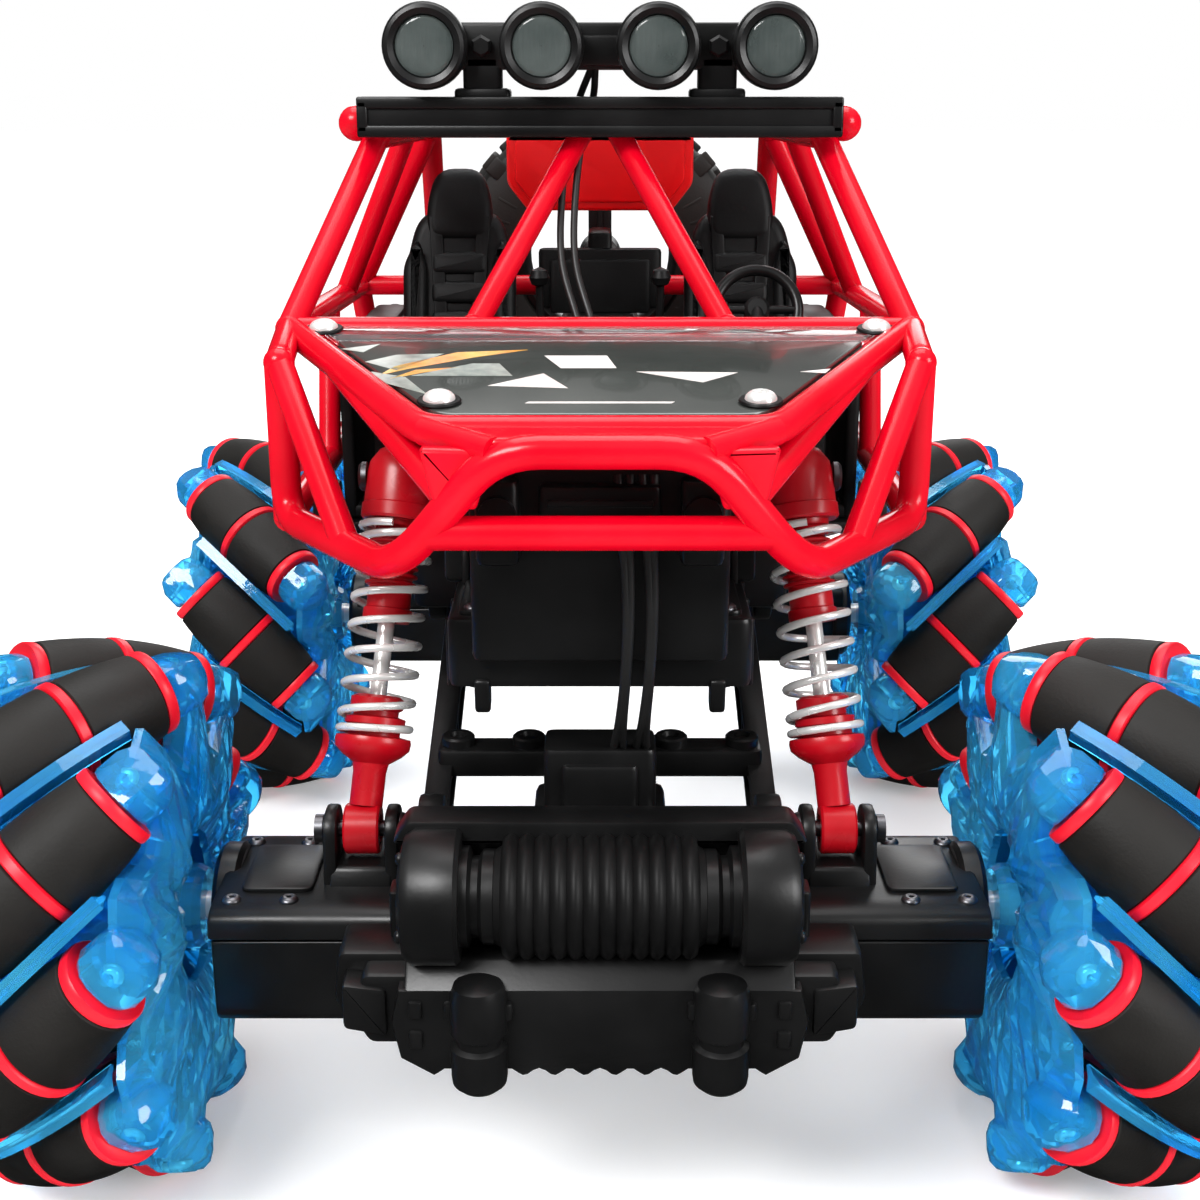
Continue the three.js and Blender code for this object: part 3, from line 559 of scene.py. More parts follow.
# one axle: outlines in y and z carried along x, posts and flanges turned about their own lines
def axleParts():
    a = axleSize
    front, back = -(wheelY + a["front"]), -(wheelY - a["back"])
    lower = rounded([(front + 0.5, a["bottom"]), (back - 0.5, a["bottom"]),
                     (back - 0.5, a["lidSeam"] - 0.5),
                     (front + 0.5, a["lidSeam"] - 0.5)], [3.5, 3.5, 0.6, 0.6], 6, True)
    lid = rounded([(front, a["lidSeam"]), (back, a["lidSeam"]), (back, a["top"]), (front + 1, a["top"])],
                  [0.5, 0.5, 4, 5.5], 7, True)
    shapes = [slab(lower, -a["end"], a["end"], "yzx", 1.0), slab(lid, -a["end"] - 0.5, a["end"] + 0.5,
                                                                 "yzx", 1.0)]
    shapes.append(block(-13, 13, -112, -92, 65, 80, 2.5, 1.2))
    shapes.append(block(-11, 11, -107, -95, 79, 93, 2, 1.2))
    shapes.append(block(-7.5, 7.5, -108.2, -94, 80, 90, 1.5, 1.0))
    shapes += [block(x - 0.7, x + 0.7, -113, -91, 66, 78, 0.5, 0.4) for x in (-9, -3, 3, 9)]
    shapes.append(block(-33, 33, -122, -116, 65, 79, 1.5, 1.0))
    shapes.append(block(-33, 33, -93, -85, 81, 87, 1.5, 1.0))
    for x in (-29, -14.5, 14.5, 29):
        boss = [(0, 86.5), (3.4, 86.5), (3.4, 88.6), (3.0, 89), (1.8, 89), (1.5, 88), (0, 88)]
        shapes.append(turned(boss, np.array([x, -89, 0.0]), [0, 0, 1], 18))
    for side in (-1, 1):
        collar = [(4.2, 72), (a["flange"] - 0.8, 72), (a["flange"], 73), (a["flange"], 76.2), (12.2, 77.2),
                  (8.6, 77.4), (8.2, 78), (4.8, 78), (4.2, 77.5)]
        hub = np.array([0, -wheelY, wheelSize["radius"]])
        shapes.append(turned(collar, hub, [side, 0, 0], 36, True))
        low, high = spanOn(side, a["armIn"], a["armIn"] + a["armWidth"])
        foot, top = np.array([-120.0, 70]), pivot[1:]
        along = unit(top - foot)
        across = np.array([-along[1], along[0]])
        arm = np.array([foot + 4.5 * across, foot - 4.5 * across, top - 4.5 * across, top + 4.5 * across])
        shapes.append(slab(rounded(arm, 1.5, 4, True), low + 0.8, high - 0.8, "yzx", 0.6))
        for edge in (4.0, -4.0):
            rail = np.array([foot + edge * across, top + edge * across])
            half = 0.6 * across
            strip = np.array([rail[0] - half, rail[0] + half, rail[1] + half, rail[1] - half])
            shapes.append(slab(strip, low, high, "yzx", 0.3))
        braces = np.linspace(0.12, 0.88, 6)
        for k, share in enumerate(braces[:-1]):
            swing = (3.6 if k % 2 else -3.6) * across
            p0 = foot + (top - foot) * share + swing
            p1 = foot + (top - foot) * braces[k + 1] - swing
            step = unit(np.array([-(p1 - p0)[1], (p1 - p0)[0]])) * 0.55
            shapes.append(slab(np.array([p0 - step, p0 + step, p1 + step, p1 - step]), low + 0.15,
                               high - 0.15, "yzx", 0.2))
        gusset = rounded([(-122, 65), (-92, 65), (-109, 86), (-122, 80)], [0.5, 0.5, 4, 3], 5, True)
        shapes.append(slab(gusset, low, high, "yzx", 0.8))
        eye = [(2.6, low), (5.0, low), (5.5, low + 0.5), (5.5, high - 0.5), (5.0, high), (2.6, high)]
        shapes.append(turned(eye, np.array([0, pivot[1], pivot[2]]), [1, 0, 0], 28, True))
        for ear in (-1, 1):
            inside = side * 47 + ear * 4.7
            span = sorted((inside, inside + ear * 2.6))
            outline = rounded([(-111, 65), (-97, 65), (-99, 79.5), (-109, 79.5)], [0.5, 0.5, 4.6, 4.6], 8,
                              True)
            shapes.append(slab(outline, span[0], span[1], "yzx", 0.6))
        web = rounded([(-112, 65), (-96, 65), (-98, 69.5), (-110, 69.5)], 1, 4, True)
        shapes.append(slab(web, *spanOn(side, 41, 53), "yzx", 0.5))
        shapes.append(block(*spanOn(side, 56, 70), -114, -94, 65.8, 66.8, 2, 0.4))
    return shapes


# shock foot pins turned about x, and four screws on each end's step
def axleSteel():
    shapes = []
    for side in (-1, 1):
        pin = [(0, 38.6), (3.0, 38.6), (3.2, 39), (3.2, 39.6), (1.6, 39.8), (1.6, 54.6), (2.8, 54.8),
               (2.8, 56.4), (0, 56.6)]
        shapes.append(turned(pin, np.array([0, -104.0, 75.0]), [side, 0, 0], 18))
        for x, y in ((60, -117), (60, -91.5), (71, -117), (71, -91.5)):
            shapes.append(screw([side * x, y, 65.9], [0, 0, 1], 1.9, 1.0))
    return shapes


for end in ("front", "rear"):
    single("axleHousing_" + end, [facing(end, shape) for shape in axleParts()], mouldedBlack, end + "_axle",
           [end + "_axle"])
    single("axleScrews_" + end, [facing(end, shape) for shape in axleSteel()], darkSteel, end + "_axle")

print("winch and bumper")
winch = dict(y=-135.0, z=76.0, rope=10.4, wraps=12, half=17.5)


# rope radius = drum radius + 0.95 |sin(pi wraps (s + half) / (2 half))|, s along the drum
def ropeDrum():
    w = winch
    s = np.linspace(-w["half"], w["half"], w["wraps"] * 8 + 1)
    coil = w["rope"] + 0.95 * np.abs(np.sin((s + w["half"]) / (2 * w["half"]) * w["wraps"] * np.pi))
    ends = w["half"] + 1.4
    profile = np.concatenate([[(0, -ends), (8.5, -ends), (9.2, -w["half"] - 0.2)], np.stack([coil, s], 1),
                              [(9.2, w["half"] + 0.2), (8.5, ends), (0, ends)]])
    return turned(profile, np.array([0, w["y"], w["z"]]), [1, 0, 0], 44)


# discs and spacers turned about the drum's line, cheeks and plates carried along x or y
def winchFrame():
    y, z = winch["y"], winch["z"]
    shapes = []
    for side in (-1, 1):
        spacer = [(0, 18), (7.6, 18), (8.6, 19), (8.6, 21), (7.4, 21.8), (7.4, 23), (9.2, 23.6), (9.2, 25),
                  (0, 25)]
        disc = [(0, 25), (11.6, 25), (12.4, 25.8), (12.4, 33.4), (11.2, 35.2), (8.4, 36), (8.0, 35),
                (4.6, 35),
                (4.2, 36.4), (0, 36.4)]
        centre = np.array([0, y, z])
        shapes += [turned(spacer, centre, [side, 0, 0], 36), turned(disc, centre, [side, 0, 0], 40)]
        cheek = rounded([(y, 60), (-123.6, 60), (-123.6, 87), (y + 2, 88)], [1, 1, 2, 6], 6, True)
        shapes.append(slab(cheek, *spanOn(side, 25.5, 35.5), "yzx", 0.8))
        for angle in np.radians((20, 110, 200, 290)):
            bolt = np.array([side * 35.6, y + 9.6 * math.cos(angle), z + 9.6 * math.sin(angle)])
            shapes.append(screw(bolt, [side, 0, 0], 1.2, 0.8))
        shapes.append(block(*spanOn(side, 36, 39), -130, -123.6, 62, 74, 1, 0.5))
    shapes.append(block(-35, 35, -128.6, -123.5, 60, 88, 1.5, 0.9))
    plate = rounded([(-38, 84.5), (38, 84.5), (35, 89), (-35, 89)], 1.2, 4, True)
    shapes.append(slab(plate, -131.5, -123.5, "xzy", 0.8))
    return shapes


# toothed lower edge = 45.6 + 0.75 cos(2 pi x / 5.5), carried along y, and two turned hooks
def bumperShapes():
    x = np.linspace(-30, 30, 61)
    wave = 45.6 + 0.75 * np.cos(x * 2 * np.pi / 5.5)
    bottom = np.stack([x, wave], 1)
    faceUp = [(36, 48.5), (37.5, 56), (36, 62.5), (-36, 62.5), (-37.5, 56), (-36, 48.5)]
    centreFace = np.concatenate([bottom, faceUp])
    shapes = [slab(centreFace, -145, -136, "xzy", 0.9)]
    middle = rounded([(-42, 49.5), (42, 49.5), (44.5, 54), (43, 63.5), (-43, 63.5), (-44.5, 54)], 1.4, 4,
                     True)
    shapes.append(slab(middle, -141.5, -126, "xzy", 1.2))
    outer = rounded([(-47, 51), (47, 51), (49, 55), (48, 65), (-48, 65), (-49, 55)], 1.4, 4, True)
    shapes.append(slab(outer, -136, -123.5, "xzy", 1.2))
    crown = rounded([(-145, 62), (-136, 62), (-136, 66.5), (-140, 66.5)], 0.8, 4, True)
    shapes.append(slab(crown, -35, 35, "yzx", 0.7))
    for side in (-1, 1):
        hook = [(0, 43.4), (3.6, 43.4), (4.9, 44.6), (5.1, 46), (5.1, 52), (4.2, 52.6), (4.2, 54.2),
                (5.1, 54.8),
                (5.1, 62), (4.4, 64), (2.2, 65), (0, 65)]
        shapes.append(turned(hook, np.array([side * 21.7, -145.4, 0.0]), [0, 0, 1], 32))
        shapes.append(block(side * 21.7 - 6.2, side * 21.7 + 6.2, -146.4, -141, 57, 60.5, 1, 0.6))
        for z in (51, 57):
            shapes.append(block(side * 33 - 1.2, side * 33 + 1.2, -145.7, -144, z, z + 3.5, 0.5, 0.4))
        step = rounded([(side * 38.5, 51.5), (side * 46.5, 53), (side * 46.5, 62), (side * 38.5, 61)], 1,
                       4, True)
        shapes.append(slab(step, -142.4, -135, "xzy", 0.8))
    return shapes


single("winchDrum", [ropeDrum()], satinBlack, "front_axle", ["winch_bumper"])
single("winchFrame", winchFrame(), mouldedBlack, "front_axle")
single("bumper", bumperShapes(), mouldedBlack, "front_axle", (), 32)

print("shocks")
shockSize = dict(length=71.12, threadStart=10.2, threadEnd=23.5, pitch=1.7, rodTop=18.9,
                 springTop=10.4, springBottom=52.1, coil=7.0, wire=0.8, turns=8.5)


# one shock: profiles turned about the line from its top pin down to its foot
def shockPieces(corner):
    k = shockSize
    top = place("shock_tilt_" + corner)
    down = -unit(joints["shock_slide_" + corner]["axis"])
    foot = top + down * k["length"]
    s = np.arange(k["threadStart"], k["threadEnd"], k["pitch"] / 6)
    thread = 4.75 + 0.5 * np.clip(1.6 * np.cos((s - s[0]) * 2 * np.pi / k["pitch"]), -1, 1)
    sleeve = np.concatenate([[(0, -6.6), (2.8, -6.2), (5.2, -4.9), (6.8, -2.4), (7.2, 0), (7.2, 6.0),
                              (7.5, 6.3), (7.5, 8.8),
                              (7.1, 9.3), (5.3, 9.4)],
                             np.stack([thread, s], 1),
                             [(4.4, 23.9), (4.4, 27), (4.9, 27.3), (4.9, 29.2), (4.5, 29.8), (2.3, 29.8),
                              (2.3, 10.3), (0, 10.3)]])
    eye = [(2.8, -3.5), (4.6, -3.5), (5.0, -3.1), (5.0, 3.1), (4.6, 3.5), (2.8, 3.5)]
    side = np.array([1.0, 0, 0])
    single("shockSleeve_" + corner, [turned(sleeve, top, down, 36)],
           shockShadedRed, "shock_sleeve_" + corner, ["shock_sleeve_" + corner])
    shaft = [(0, k["rodTop"]), (1.5, k["rodTop"]), (1.7, k["rodTop"] + 0.3), (1.7, 47), (0, 47)]
    single("shockShaft_" + corner, [turned(shaft, top, down, 20)], springSteel, "shock_rod_" + corner)
    seat = [(0, 44.6), (4.2, 44.6), (5.3, 45.2), (5.3, 47.2), (4.5, 47.7), (4.5, 48.7), (6.0, 49.1),
            (6.0, 50.4),
            (5.2, 50.9), (5.2, 52.6), (7.4, 53.0), (7.6, 53.8), (7.4, 55.2), (6.0, 56.6), (3.6, 58.2),
            (3.3, 60),
            (3.3, 66.6), (0, 66.8)]
    single("shockFoot_" + corner, [turned(seat, top, down, 36), turned(eye, foot, side, 28, True)],
           shockShadedRed, "shock_rod_" + corner, ["shock_rod_" + corner])
    # helix: radius cos, radius sin, and a height whose first and last turns lie flat
    steps = int(k["turns"] * 26)
    turn = np.linspace(0, k["turns"], steps)
    climb = np.interp(turn, [0, 0.9, k["turns"] - 0.9, k["turns"]], [0.0, 0.035, 0.965, 1.0])
    across = unit(np.cross(down, side))
    other = np.cross(down, across)
    angle = turn[:, None] * 2 * np.pi
    height = k["springTop"] + climb[:, None] * (k["springBottom"] - k["springTop"])
    line = top + down * height + k["coil"] * (np.cos(angle) * across + np.sin(angle) * other)
    spring = single("spring_" + corner, [tube(line, k["wire"], 8)], springSteel, None, (),
                    60)
    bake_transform(spring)


for corner in corners:
    shockPieces(corner)

print("roll cage")
cage = dict(tube=2.9, bend=7.0, sides=16, loopBends=(0, 8, 10, 8, 8, 10, 8, 0))
cagePoints = dict(
    cornerLow=(36, -125, 134.6), sillFront=(64, -75, 131), sillRear=(64, 75, 131), postTop=(64, -75, 163),
    loopTop=(18, -130, 157), hoodFront=(31, -118, 158), hoodRear=(66, -50, 166), roofFront=(51, -10, 204),
    roofRear=(45, 55, 204), roofEnd=(55.6, -10, 207), beltRear=(66, 60, 162), tail=(50, 125, 140),
    shieldTop=(3, -10, 207), shieldFoot=(27, -49, 166))
cagePoints = {name: np.array(value, float) for name, value in cagePoints.items()}


# a + (b - a) share, for two named points of the cage
def between(a, b, share):
    return cagePoints[a] + (cagePoints[b] - cagePoints[a]) * share


# the same point on the other side: x becomes -x
def opposite(p):
    return p * np.array([-1, 1, 1])


# a tube along a path whose corners are arcs
def bentTube(path, radius=None, bend=None):
    bent = rounded(path, cage["bend"] if bend is None else bend, 7)
    return tube(bent, radius or cage["tube"], cage["sides"])


# the cage: tubes through the named points, and the same tubes mirrored
def cageShapes():
    p = cagePoints
    loop = [p["postTop"], p["sillFront"], p["cornerLow"], p["loopTop"]]
    loop += [opposite(point) for point in loop[::-1]]
    hoop = [p["sillRear"], p["sillFront"]]
    rail = [p["hoodRear"], p["hoodFront"], opposite(p["hoodFront"]), opposite(p["hoodRear"])]
    back = [p["roofFront"], p["roofRear"], p["tail"], opposite(p["tail"]), opposite(p["roofRear"]),
            opposite(p["roofFront"])]
    base = [p["beltRear"], p["sillRear"], p["tail"]]
    shapes = [bentTube(loop, radius=3.1, bend=cage["loopBends"]), bentTube(rail, bend=5),
              bentTube(back, bend=6)]
    oneSide = [
        bentTube(hoop), bentTube(base, bend=5),
        bentTube([p["roofFront"], p["hoodRear"]]), bentTube([p["hoodRear"], p["postTop"], p["sillFront"]],
                                                            bend=4),
        bentTube([p["hoodRear"], p["beltRear"]]), bentTube([p["roofRear"], p["beltRear"]]),
        bentTube([p["shieldTop"], p["shieldFoot"]], radius=2.6),
        bentTube([p["loopTop"], p["hoodFront"]], radius=2.6),
        bentTube([between("hoodFront", "hoodRear", 0.62), between("loopTop", "cornerLow", 0.42)],
                 radius=2.8),
        bentTube([p["postTop"], between("cornerLow", "sillFront", 0.42)], radius=2.8),
        bentTube([between("roofFront", "roofRear", 0.52), between("hoodRear", "beltRear", 0.74)],
                 radius=2.6),
        bentTube([between("hoodRear", "beltRear", 0.5), between("sillRear", "sillFront", 0.62)],
                 radius=2.6)]
    for shape in oneSide:
        shapes += [shape, mirrored(shape)]
    low = between("loopTop", "cornerLow", 0.68)
    crossings = [(low, 3.1), (p["hoodRear"], 2.6), (p["roofEnd"], 2.8), (p["roofRear"], 2.7),
                 (p["beltRear"], 2.7)]
    shapes += [bentTube([end, opposite(end)], radius=size) for end, size in crossings]
    # ball joints where tubes meet, and the two larger ends of the roof's front tube
    t = np.linspace(0, np.pi, 13)
    names = ("hoodRear", "postTop", "roofFront", "roofRear", "beltRear", "sillRear", "shieldTop",
             "shieldFoot")
    for name, size in [(name, 3.15) for name in names] + [("roofEnd", 4.0)]:
        arc = np.stack([size * np.sin(t), -size * np.cos(t)], 1)
        arc[[0, -1], 0] = 0
        for centre in (p[name], opposite(p[name])):
            shapes.append(turned(arc, centre, [1, 0, 0], 20))
    # flat webs: hood front to loop top, and a gusset where each diagonal meets the loop's leg
    front = [(-31, -118), (31, -118), (19, -130.5), (-19, -130.5)]
    shapes.append(slab(rounded(front, 1.5, 4, True), 155.6, 159.4, "xyz", 1.0))
    knee = between("loopTop", "cornerLow", 0.30)
    for side in (1, -1):
        gusset = [(side * 18, 157), (side * 31, 157.4), (side * (knee[0] + 5.5), knee[2] - 2.5),
                  (side * (knee[0] - 2), knee[2] - 4)]
        shapes.append(slab(rounded(gusset, 1.0, 4, True), -129.4, -125.6, "xzy", 1.0))
    return shapes


single("cageTubes", cageShapes(), cageRed, "chassis", ["roll_cage"], 50)

print("sheets")


# a leaning sheet: front edge, directions, length, half width. lean = atan((drop - thickness) / run)
def sheetFrame(node, thickness):
    low, high = boxOf(node)
    drop = high[2] - low[2]
    lean = math.atan2(drop - thickness, high[1] - low[1])
    run, rise = np.array([0, math.cos(lean), math.sin(lean)]), np.array([0, -math.sin(lean),
                                                                         math.cos(lean)])
    origin = np.array([0, low[1] + thickness * math.sin(lean), low[2]])
    reach = (high[1] - low[1] - thickness * math.sin(lean)) / math.cos(lean)
    return origin, run, rise, reach, high[0]


# an outline laid on a leaning sheet: origin + x across + v run + height rise
def onSheet(sheet, outline, low, high, bevel):
    origin, run, rise = sheet[:3]
    shape = slab(np.array(outline, float), low, high, "xyz", bevel)
    local = shape[0]
    return origin + local[:, :1] * [1, 0, 0] + local[:, 1:2] * run + local[:, 2:] * rise, shape[1]


hoodSheet = sheetFrame("hood_panel", 1.2)
hood = dict(front=28.8, printEnd=0.80, edge=1.3)
hoodReach, hoodRear = hoodSheet[3], hoodSheet[4] - 0.4


# half the hood's width: front + (rear - front) share
def hoodHalf(share):
    return hood["front"] + (hoodRear - hood["front"]) * share


# the part of the hood between two shares of its length
def hoodOutline(a, b):
    wa, wb = hoodHalf(a), hoodHalf(b)
    return [(-wa, a * hoodReach), (wa, a * hoodReach), (wb, b * hoodReach), (-wb, b * hoodReach)]


printed = rounded(hoodOutline(0.014, hood["printEnd"]), [4, 4, 0.4, 0.4], 6, True)
single("hoodPrint", [onSheet(hoodSheet, printed, 0.0, 1.2, 0.45)], sheetPrint, "chassis",
       ["hood_panel"])
strip = rounded(hoodOutline(hood["printEnd"] + 0.003, 0.995), [0.4, 0.4, 5, 5], 6, True)
edge = hood["edge"]
lip = [(-hood["front"] + 0.4, -0.5), (hood["front"] - 0.4, -0.5), (hood["front"], edge),
       (-hood["front"], edge)]
single("hoodClearEdge", [onSheet(hoodSheet, strip, 0.0, 1.2, 0.4), onSheet(hoodSheet, lip, 0.1, 1.0, 0.3)],
       clearSheet,
       "chassis")


# thin printed shapes, given as x and share of the hood's length, just over the sheet
def decals(name, shapes, material):
    parts = [onSheet(hoodSheet, [(x, v * hoodReach) for x, v in outline], 1.21, 1.3,
                     0.03) for outline in shapes]
    single(name, parts, material, "chassis", (), 0)


decals("hoodDecalsWhite", [
    [(-11, 0.62), (1.4, 0.62), (3.2, 0.48), (-7.6, 0.48)], [(-21, 0.29), (-6, 0.265), (-10.8, 0.42)],
    [(7, 0.44), (26.4, 0.43), (19.4, 0.325)], [(38.5, 0.44), (44.5, 0.47), (43.2, 0.425)],
    [(-13, 0.128), (13.6, 0.128), (13, 0.112), (-13.6, 0.112)]], printWhite)
decals("hoodDecalsGrey", [
    [(-44, 0.44), (-41.3, 0.33), (-31.8, 0.2), (-37, 0.38)], [(-46, 0.55), (-40.4, 0.63), (-31, 0.645),
                                                              (-39, 0.45)],
    [(-36, 0.395), (-25, 0.53), (-19.6, 0.53), (-16.7, 0.395)],
    [(-52, 0.70), (-44.5, 0.76), (-47.2, 0.66)]], printGrey)
decals("hoodDecalsOrange", [
    [(-42.2, 0.40), (-37.2, 0.47), (-25, 0.60), (-14.5, 0.69), (-28.5, 0.66), (-39.8, 0.50)],
    [(-40, 0.36), (-34, 0.43), (-27, 0.49), (-35.5, 0.46)]], printOrange)
sheetScrews = []
for x, v in ((29.2, 0.12), (-29.2, 0.12), (57.5, 0.93), (-57.5, 0.93)):
    spot = hoodSheet[0] + np.array([x, 0, 0]) + hoodSheet[1] * v * hoodReach + hoodSheet[2] * 1.9
    sheetScrews.append((spot, hoodSheet[2]))
single("hoodScrews", [screw(spot, up, 3.0, 1.7) for spot, up in sheetScrews], springSteel, "chassis")
washers = [turned([(1, -0.6), (3.9, -0.6), (4.1, -0.3), (3.9, 0.05), (1, 0.05)], spot, up, 24,
                  True) for spot, up in sheetScrews]
single("hoodWashers", washers, satinBlack, "chassis")

roofSheet = sheetFrame("roof_panel", 1.2)
roofHigh = boxOf("roof_panel")[1]
roofOutline = rounded([(-roofHigh[0], 0.2), (roofHigh[0], 0.2), (roofHigh[0] - 5.4, roofSheet[3] - 0.2),
                       (5.4 - roofHigh[0], roofSheet[3] - 0.2)], 5, 6, True)
single("roofSheet", [onSheet(roofSheet, roofOutline, 0, 1.2, 0.4)], clearSheet, "chassis",
       ["roof_panel"])
roofScrews = [roofSheet[0] + np.array([x, 0, 1.5]) + roofSheet[1] * y for x in (-40, 40) for y in (6, 48)]
single("roofScrews", [screw(spot, [0, 0, 1], 2.4, 1.3) for spot in roofScrews], springSteel, "chassis")

print("light bar")
lamp = dict(pitch=25.4, radius=9.2, lens=6.3, z=223.6, front=-27.0, back=-10.0)
shelf = dict(half=53.9, front=-21.9, back=-13.9, bottom=204.2, top=213.2)


# shelf with a raised rim, the bar behind the lamps, two feet and their nuts
def lightBarShapes():
    s = shelf
    shapes = [block(-s["half"], s["half"], s["front"] + 0.7, s["back"], s["bottom"] + 0.2, s["top"] - 0.2,
                    1.2, 0.8)]
    # a raised rim round the shelf's face
    for z in (s["bottom"] + 1.4, s["top"] - 1.5):
        shapes.append(block(-s["half"], s["half"], s["front"], s["front"] + 2, z - 1.3, z + 1.3, 0.5, 0.5))
    for x in (-s["half"] + 1.2, s["half"] - 1.2):
        shapes.append(block(x - 1.2, x + 1.2, s["front"], s["front"] + 2, s["bottom"] + 1, s["top"] - 1,
                            0.5, 0.5))
    shapes.append(block(-44, 44, -20, -14, lamp["z"] - 5, lamp["z"] + 5, 1.4, 0.9))
    shapes.append(block(-15, 15, -21, -15, lamp["z"] - 4.2, lamp["z"] + 2.4, 1, 0.7))
    for side in (-1, 1):
        shapes.append(block(side * 26 - 4.3, side * 26 + 4.3, -20, -14, s["top"] - 1.5, lamp["z"] - 2, 1.2,
                            0.8))
        shapes.append(block(side * 26 - 6.2, side * 26 + 6.2, -21, -14, s["top"] - 1.5, s["top"] + 1.6,
                            1.2, 0.8))
        shapes.append(turned([(0, -22.6), (1.8, -22.6), (2.4, -22.0), (2.4, -19), (0, -19)],
                             np.array([side * 26, 0, lamp["z"]]), [0, 1, 0], 6))
    return shapes


# a lamp's bucket and ring: radius and depth pairs turned about y
def lampShell(x):
    r, depth = lamp["radius"], lamp["back"] - lamp["front"]
    profile = [(0, 0), (4.4, 0), (5.2, 0.8), (5.4, 2.0), (7.4, 4.0), (8.6, 6.4), (8.8, 9), (r - 0.5, 10.2),
               (r, 11),
               (r, depth - 1.2), (r - 0.5, depth - 0.3), (r - 1.3, depth), (r - 2.5, depth - 0.5),
               (r - 2.9, depth - 1.8),
               (r - 3.1, depth - 2.4), (r - 3.6, depth - 7), (3.2, depth - 9.4), (0, depth - 9.4)]
    return turned(profile, np.array([x, lamp["back"], lamp["z"]]), [0, -1, 0], 44)


# a bowl: depth = 6.2 t^2 at radius 0.9 + 4.9 t
def lampReflector(x):
    depth = lamp["back"] - lamp["front"]
    t = np.linspace(0, 1, 9)
    bowl = np.stack([0.9 + 4.9 * t, depth - 8.9 + 6.2 * t ** 2], 1)
    outer = bowl[::-1] - [0, 0.35]
    return turned(np.concatenate([[(0, depth - 8.9)], bowl, outer, [(0, depth - 9.3)]]),
                  np.array([x, lamp["back"], lamp["z"]]), [0, -1, 0], 36)


# a flat disc whose front is ribbed: height = base + rib |cos(x pitch)| on a grid of rings
def lampLens(x):
    r, y = lamp["lens"], lamp["front"] + 1.6
    rings, sides = 26, 60
    radius = np.linspace(0.02, 1, rings)[:, None] * r
    angle = np.linspace(0, 2 * np.pi, sides, endpoint=False)[None, :]
    u, w = radius * np.cos(angle), radius * np.sin(angle)
    dome = 0.7 * np.sqrt(np.clip(1 - (radius / (r * 1.06)) ** 2, 0, 1))
    front = y - dome - 0.16 * np.abs(np.cos(u * 2.6)) * (radius < r * 0.93)
    face = np.stack([u, front + 0 * u, w], -1)
    back = np.stack([u, np.full_like(u, y + 0.5), w], -1)
    grid = np.concatenate([face, back[::-1]])
    points = grid.reshape(-1, 3) + [x, 0, lamp["z"]]
    return points, [gridQuads(len(grid), sides, True, True)]


lampPlaces = [step * lamp["pitch"] for step in (-1.5, -0.5, 0.5, 1.5)]
single("lightBar", lightBarShapes(), mouldedBlack, "chassis", ["light_bar"])
single("lampShells", [lampShell(x) for x in lampPlaces], mouldedBlack, "chassis")
single("lampReflectors", [lampReflector(x) for x in lampPlaces], lampSilver, "chassis")
single("lampLenses", [lampLens(x) for x in lampPlaces], lampGlass, "chassis", (), 60)

print("cockpit")
tub = dict(half=58, front=-38, rear=60, floor=121.4, wallTop=157)
seat = dict(x=35, base=146, slope=0.27)
steering = dict(x=36.0, y=-20.0, z=166.0, radius=9.5, rim=1.3, lean=0.45)


# y grows by slope times the height over z0
def leaning(shape, z0, slope):
    points = shape[0].copy()
    points[:, 1] += np.maximum(points[:, 2] - z0, 0) * slope
    return points, shape[1]


# one seat: outlines in x and z carried along y, then leant back
def seatShapes(x):
    back = rounded([(x - 13.6, 143), (x + 13.6, 143), (x + 14, 170), (x + 11, 182), (x + 7, 185),
                    (x - 7, 185),
                    (x - 11, 182), (x - 14, 170)], 4, 6, True)
    head = rounded([(x - 8.4, 178), (x + 8.4, 178), (x + 8.2, 187), (x + 5.6, 195), (x - 5.6, 195),
                    (x - 8.2, 187)],
                   4.2, 6, True)
    shapes = [leaning(slab(back, 10, 17, "xzy", 2.6, 4), seat["base"], seat["slope"]),
              leaning(slab(head, 9, 15, "xzy", 2.4, 4), seat["base"], seat["slope"])]
    for side in (-1, 1):
        bolster = rounded([(x + side * 8.5, 146), (x + side * 14, 146), (x + side * 14, 172),
                           (x + side * 10.5, 179),
                           (x + side * 8.0, 172)], 2.2, 6, True)
        shapes.append(leaning(slab(bolster, 7.4, 15, "xzy", 2.2, 4), seat["base"], seat["slope"]))
        shapes.append(block(x + side * 12 - 2.6, x + side * 12 + 2.6, -13, 14, 143, 151, 2, 2))
        belt = rounded([(x + side * 4 - 1.6, 150), (x + side * 4 + 1.6, 150), (x + side * 6 + 1.6, 184),
                        (x + side * 6 - 1.6, 184)], 0.4, 3, True)
        shapes.append(leaning(slab(belt, 9.2, 10.4, "xzy", 0.4), seat["base"], seat["slope"]))
    for z in (156, 163, 170):
        ridge = rounded([(x - 7, z), (x + 7, z), (x + 7, z + 5.4), (x - 7, z + 5.4)], 1.6, 4, True)
        shapes.append(leaning(slab(ridge, 8.8, 12, "xzy", 1.4, 3), seat["base"], seat["slope"]))
    shapes.append(block(x - 12.6, x + 12.6, -14, 15, tub["floor"] + 2, 148, 3, 2.4))
    return shapes


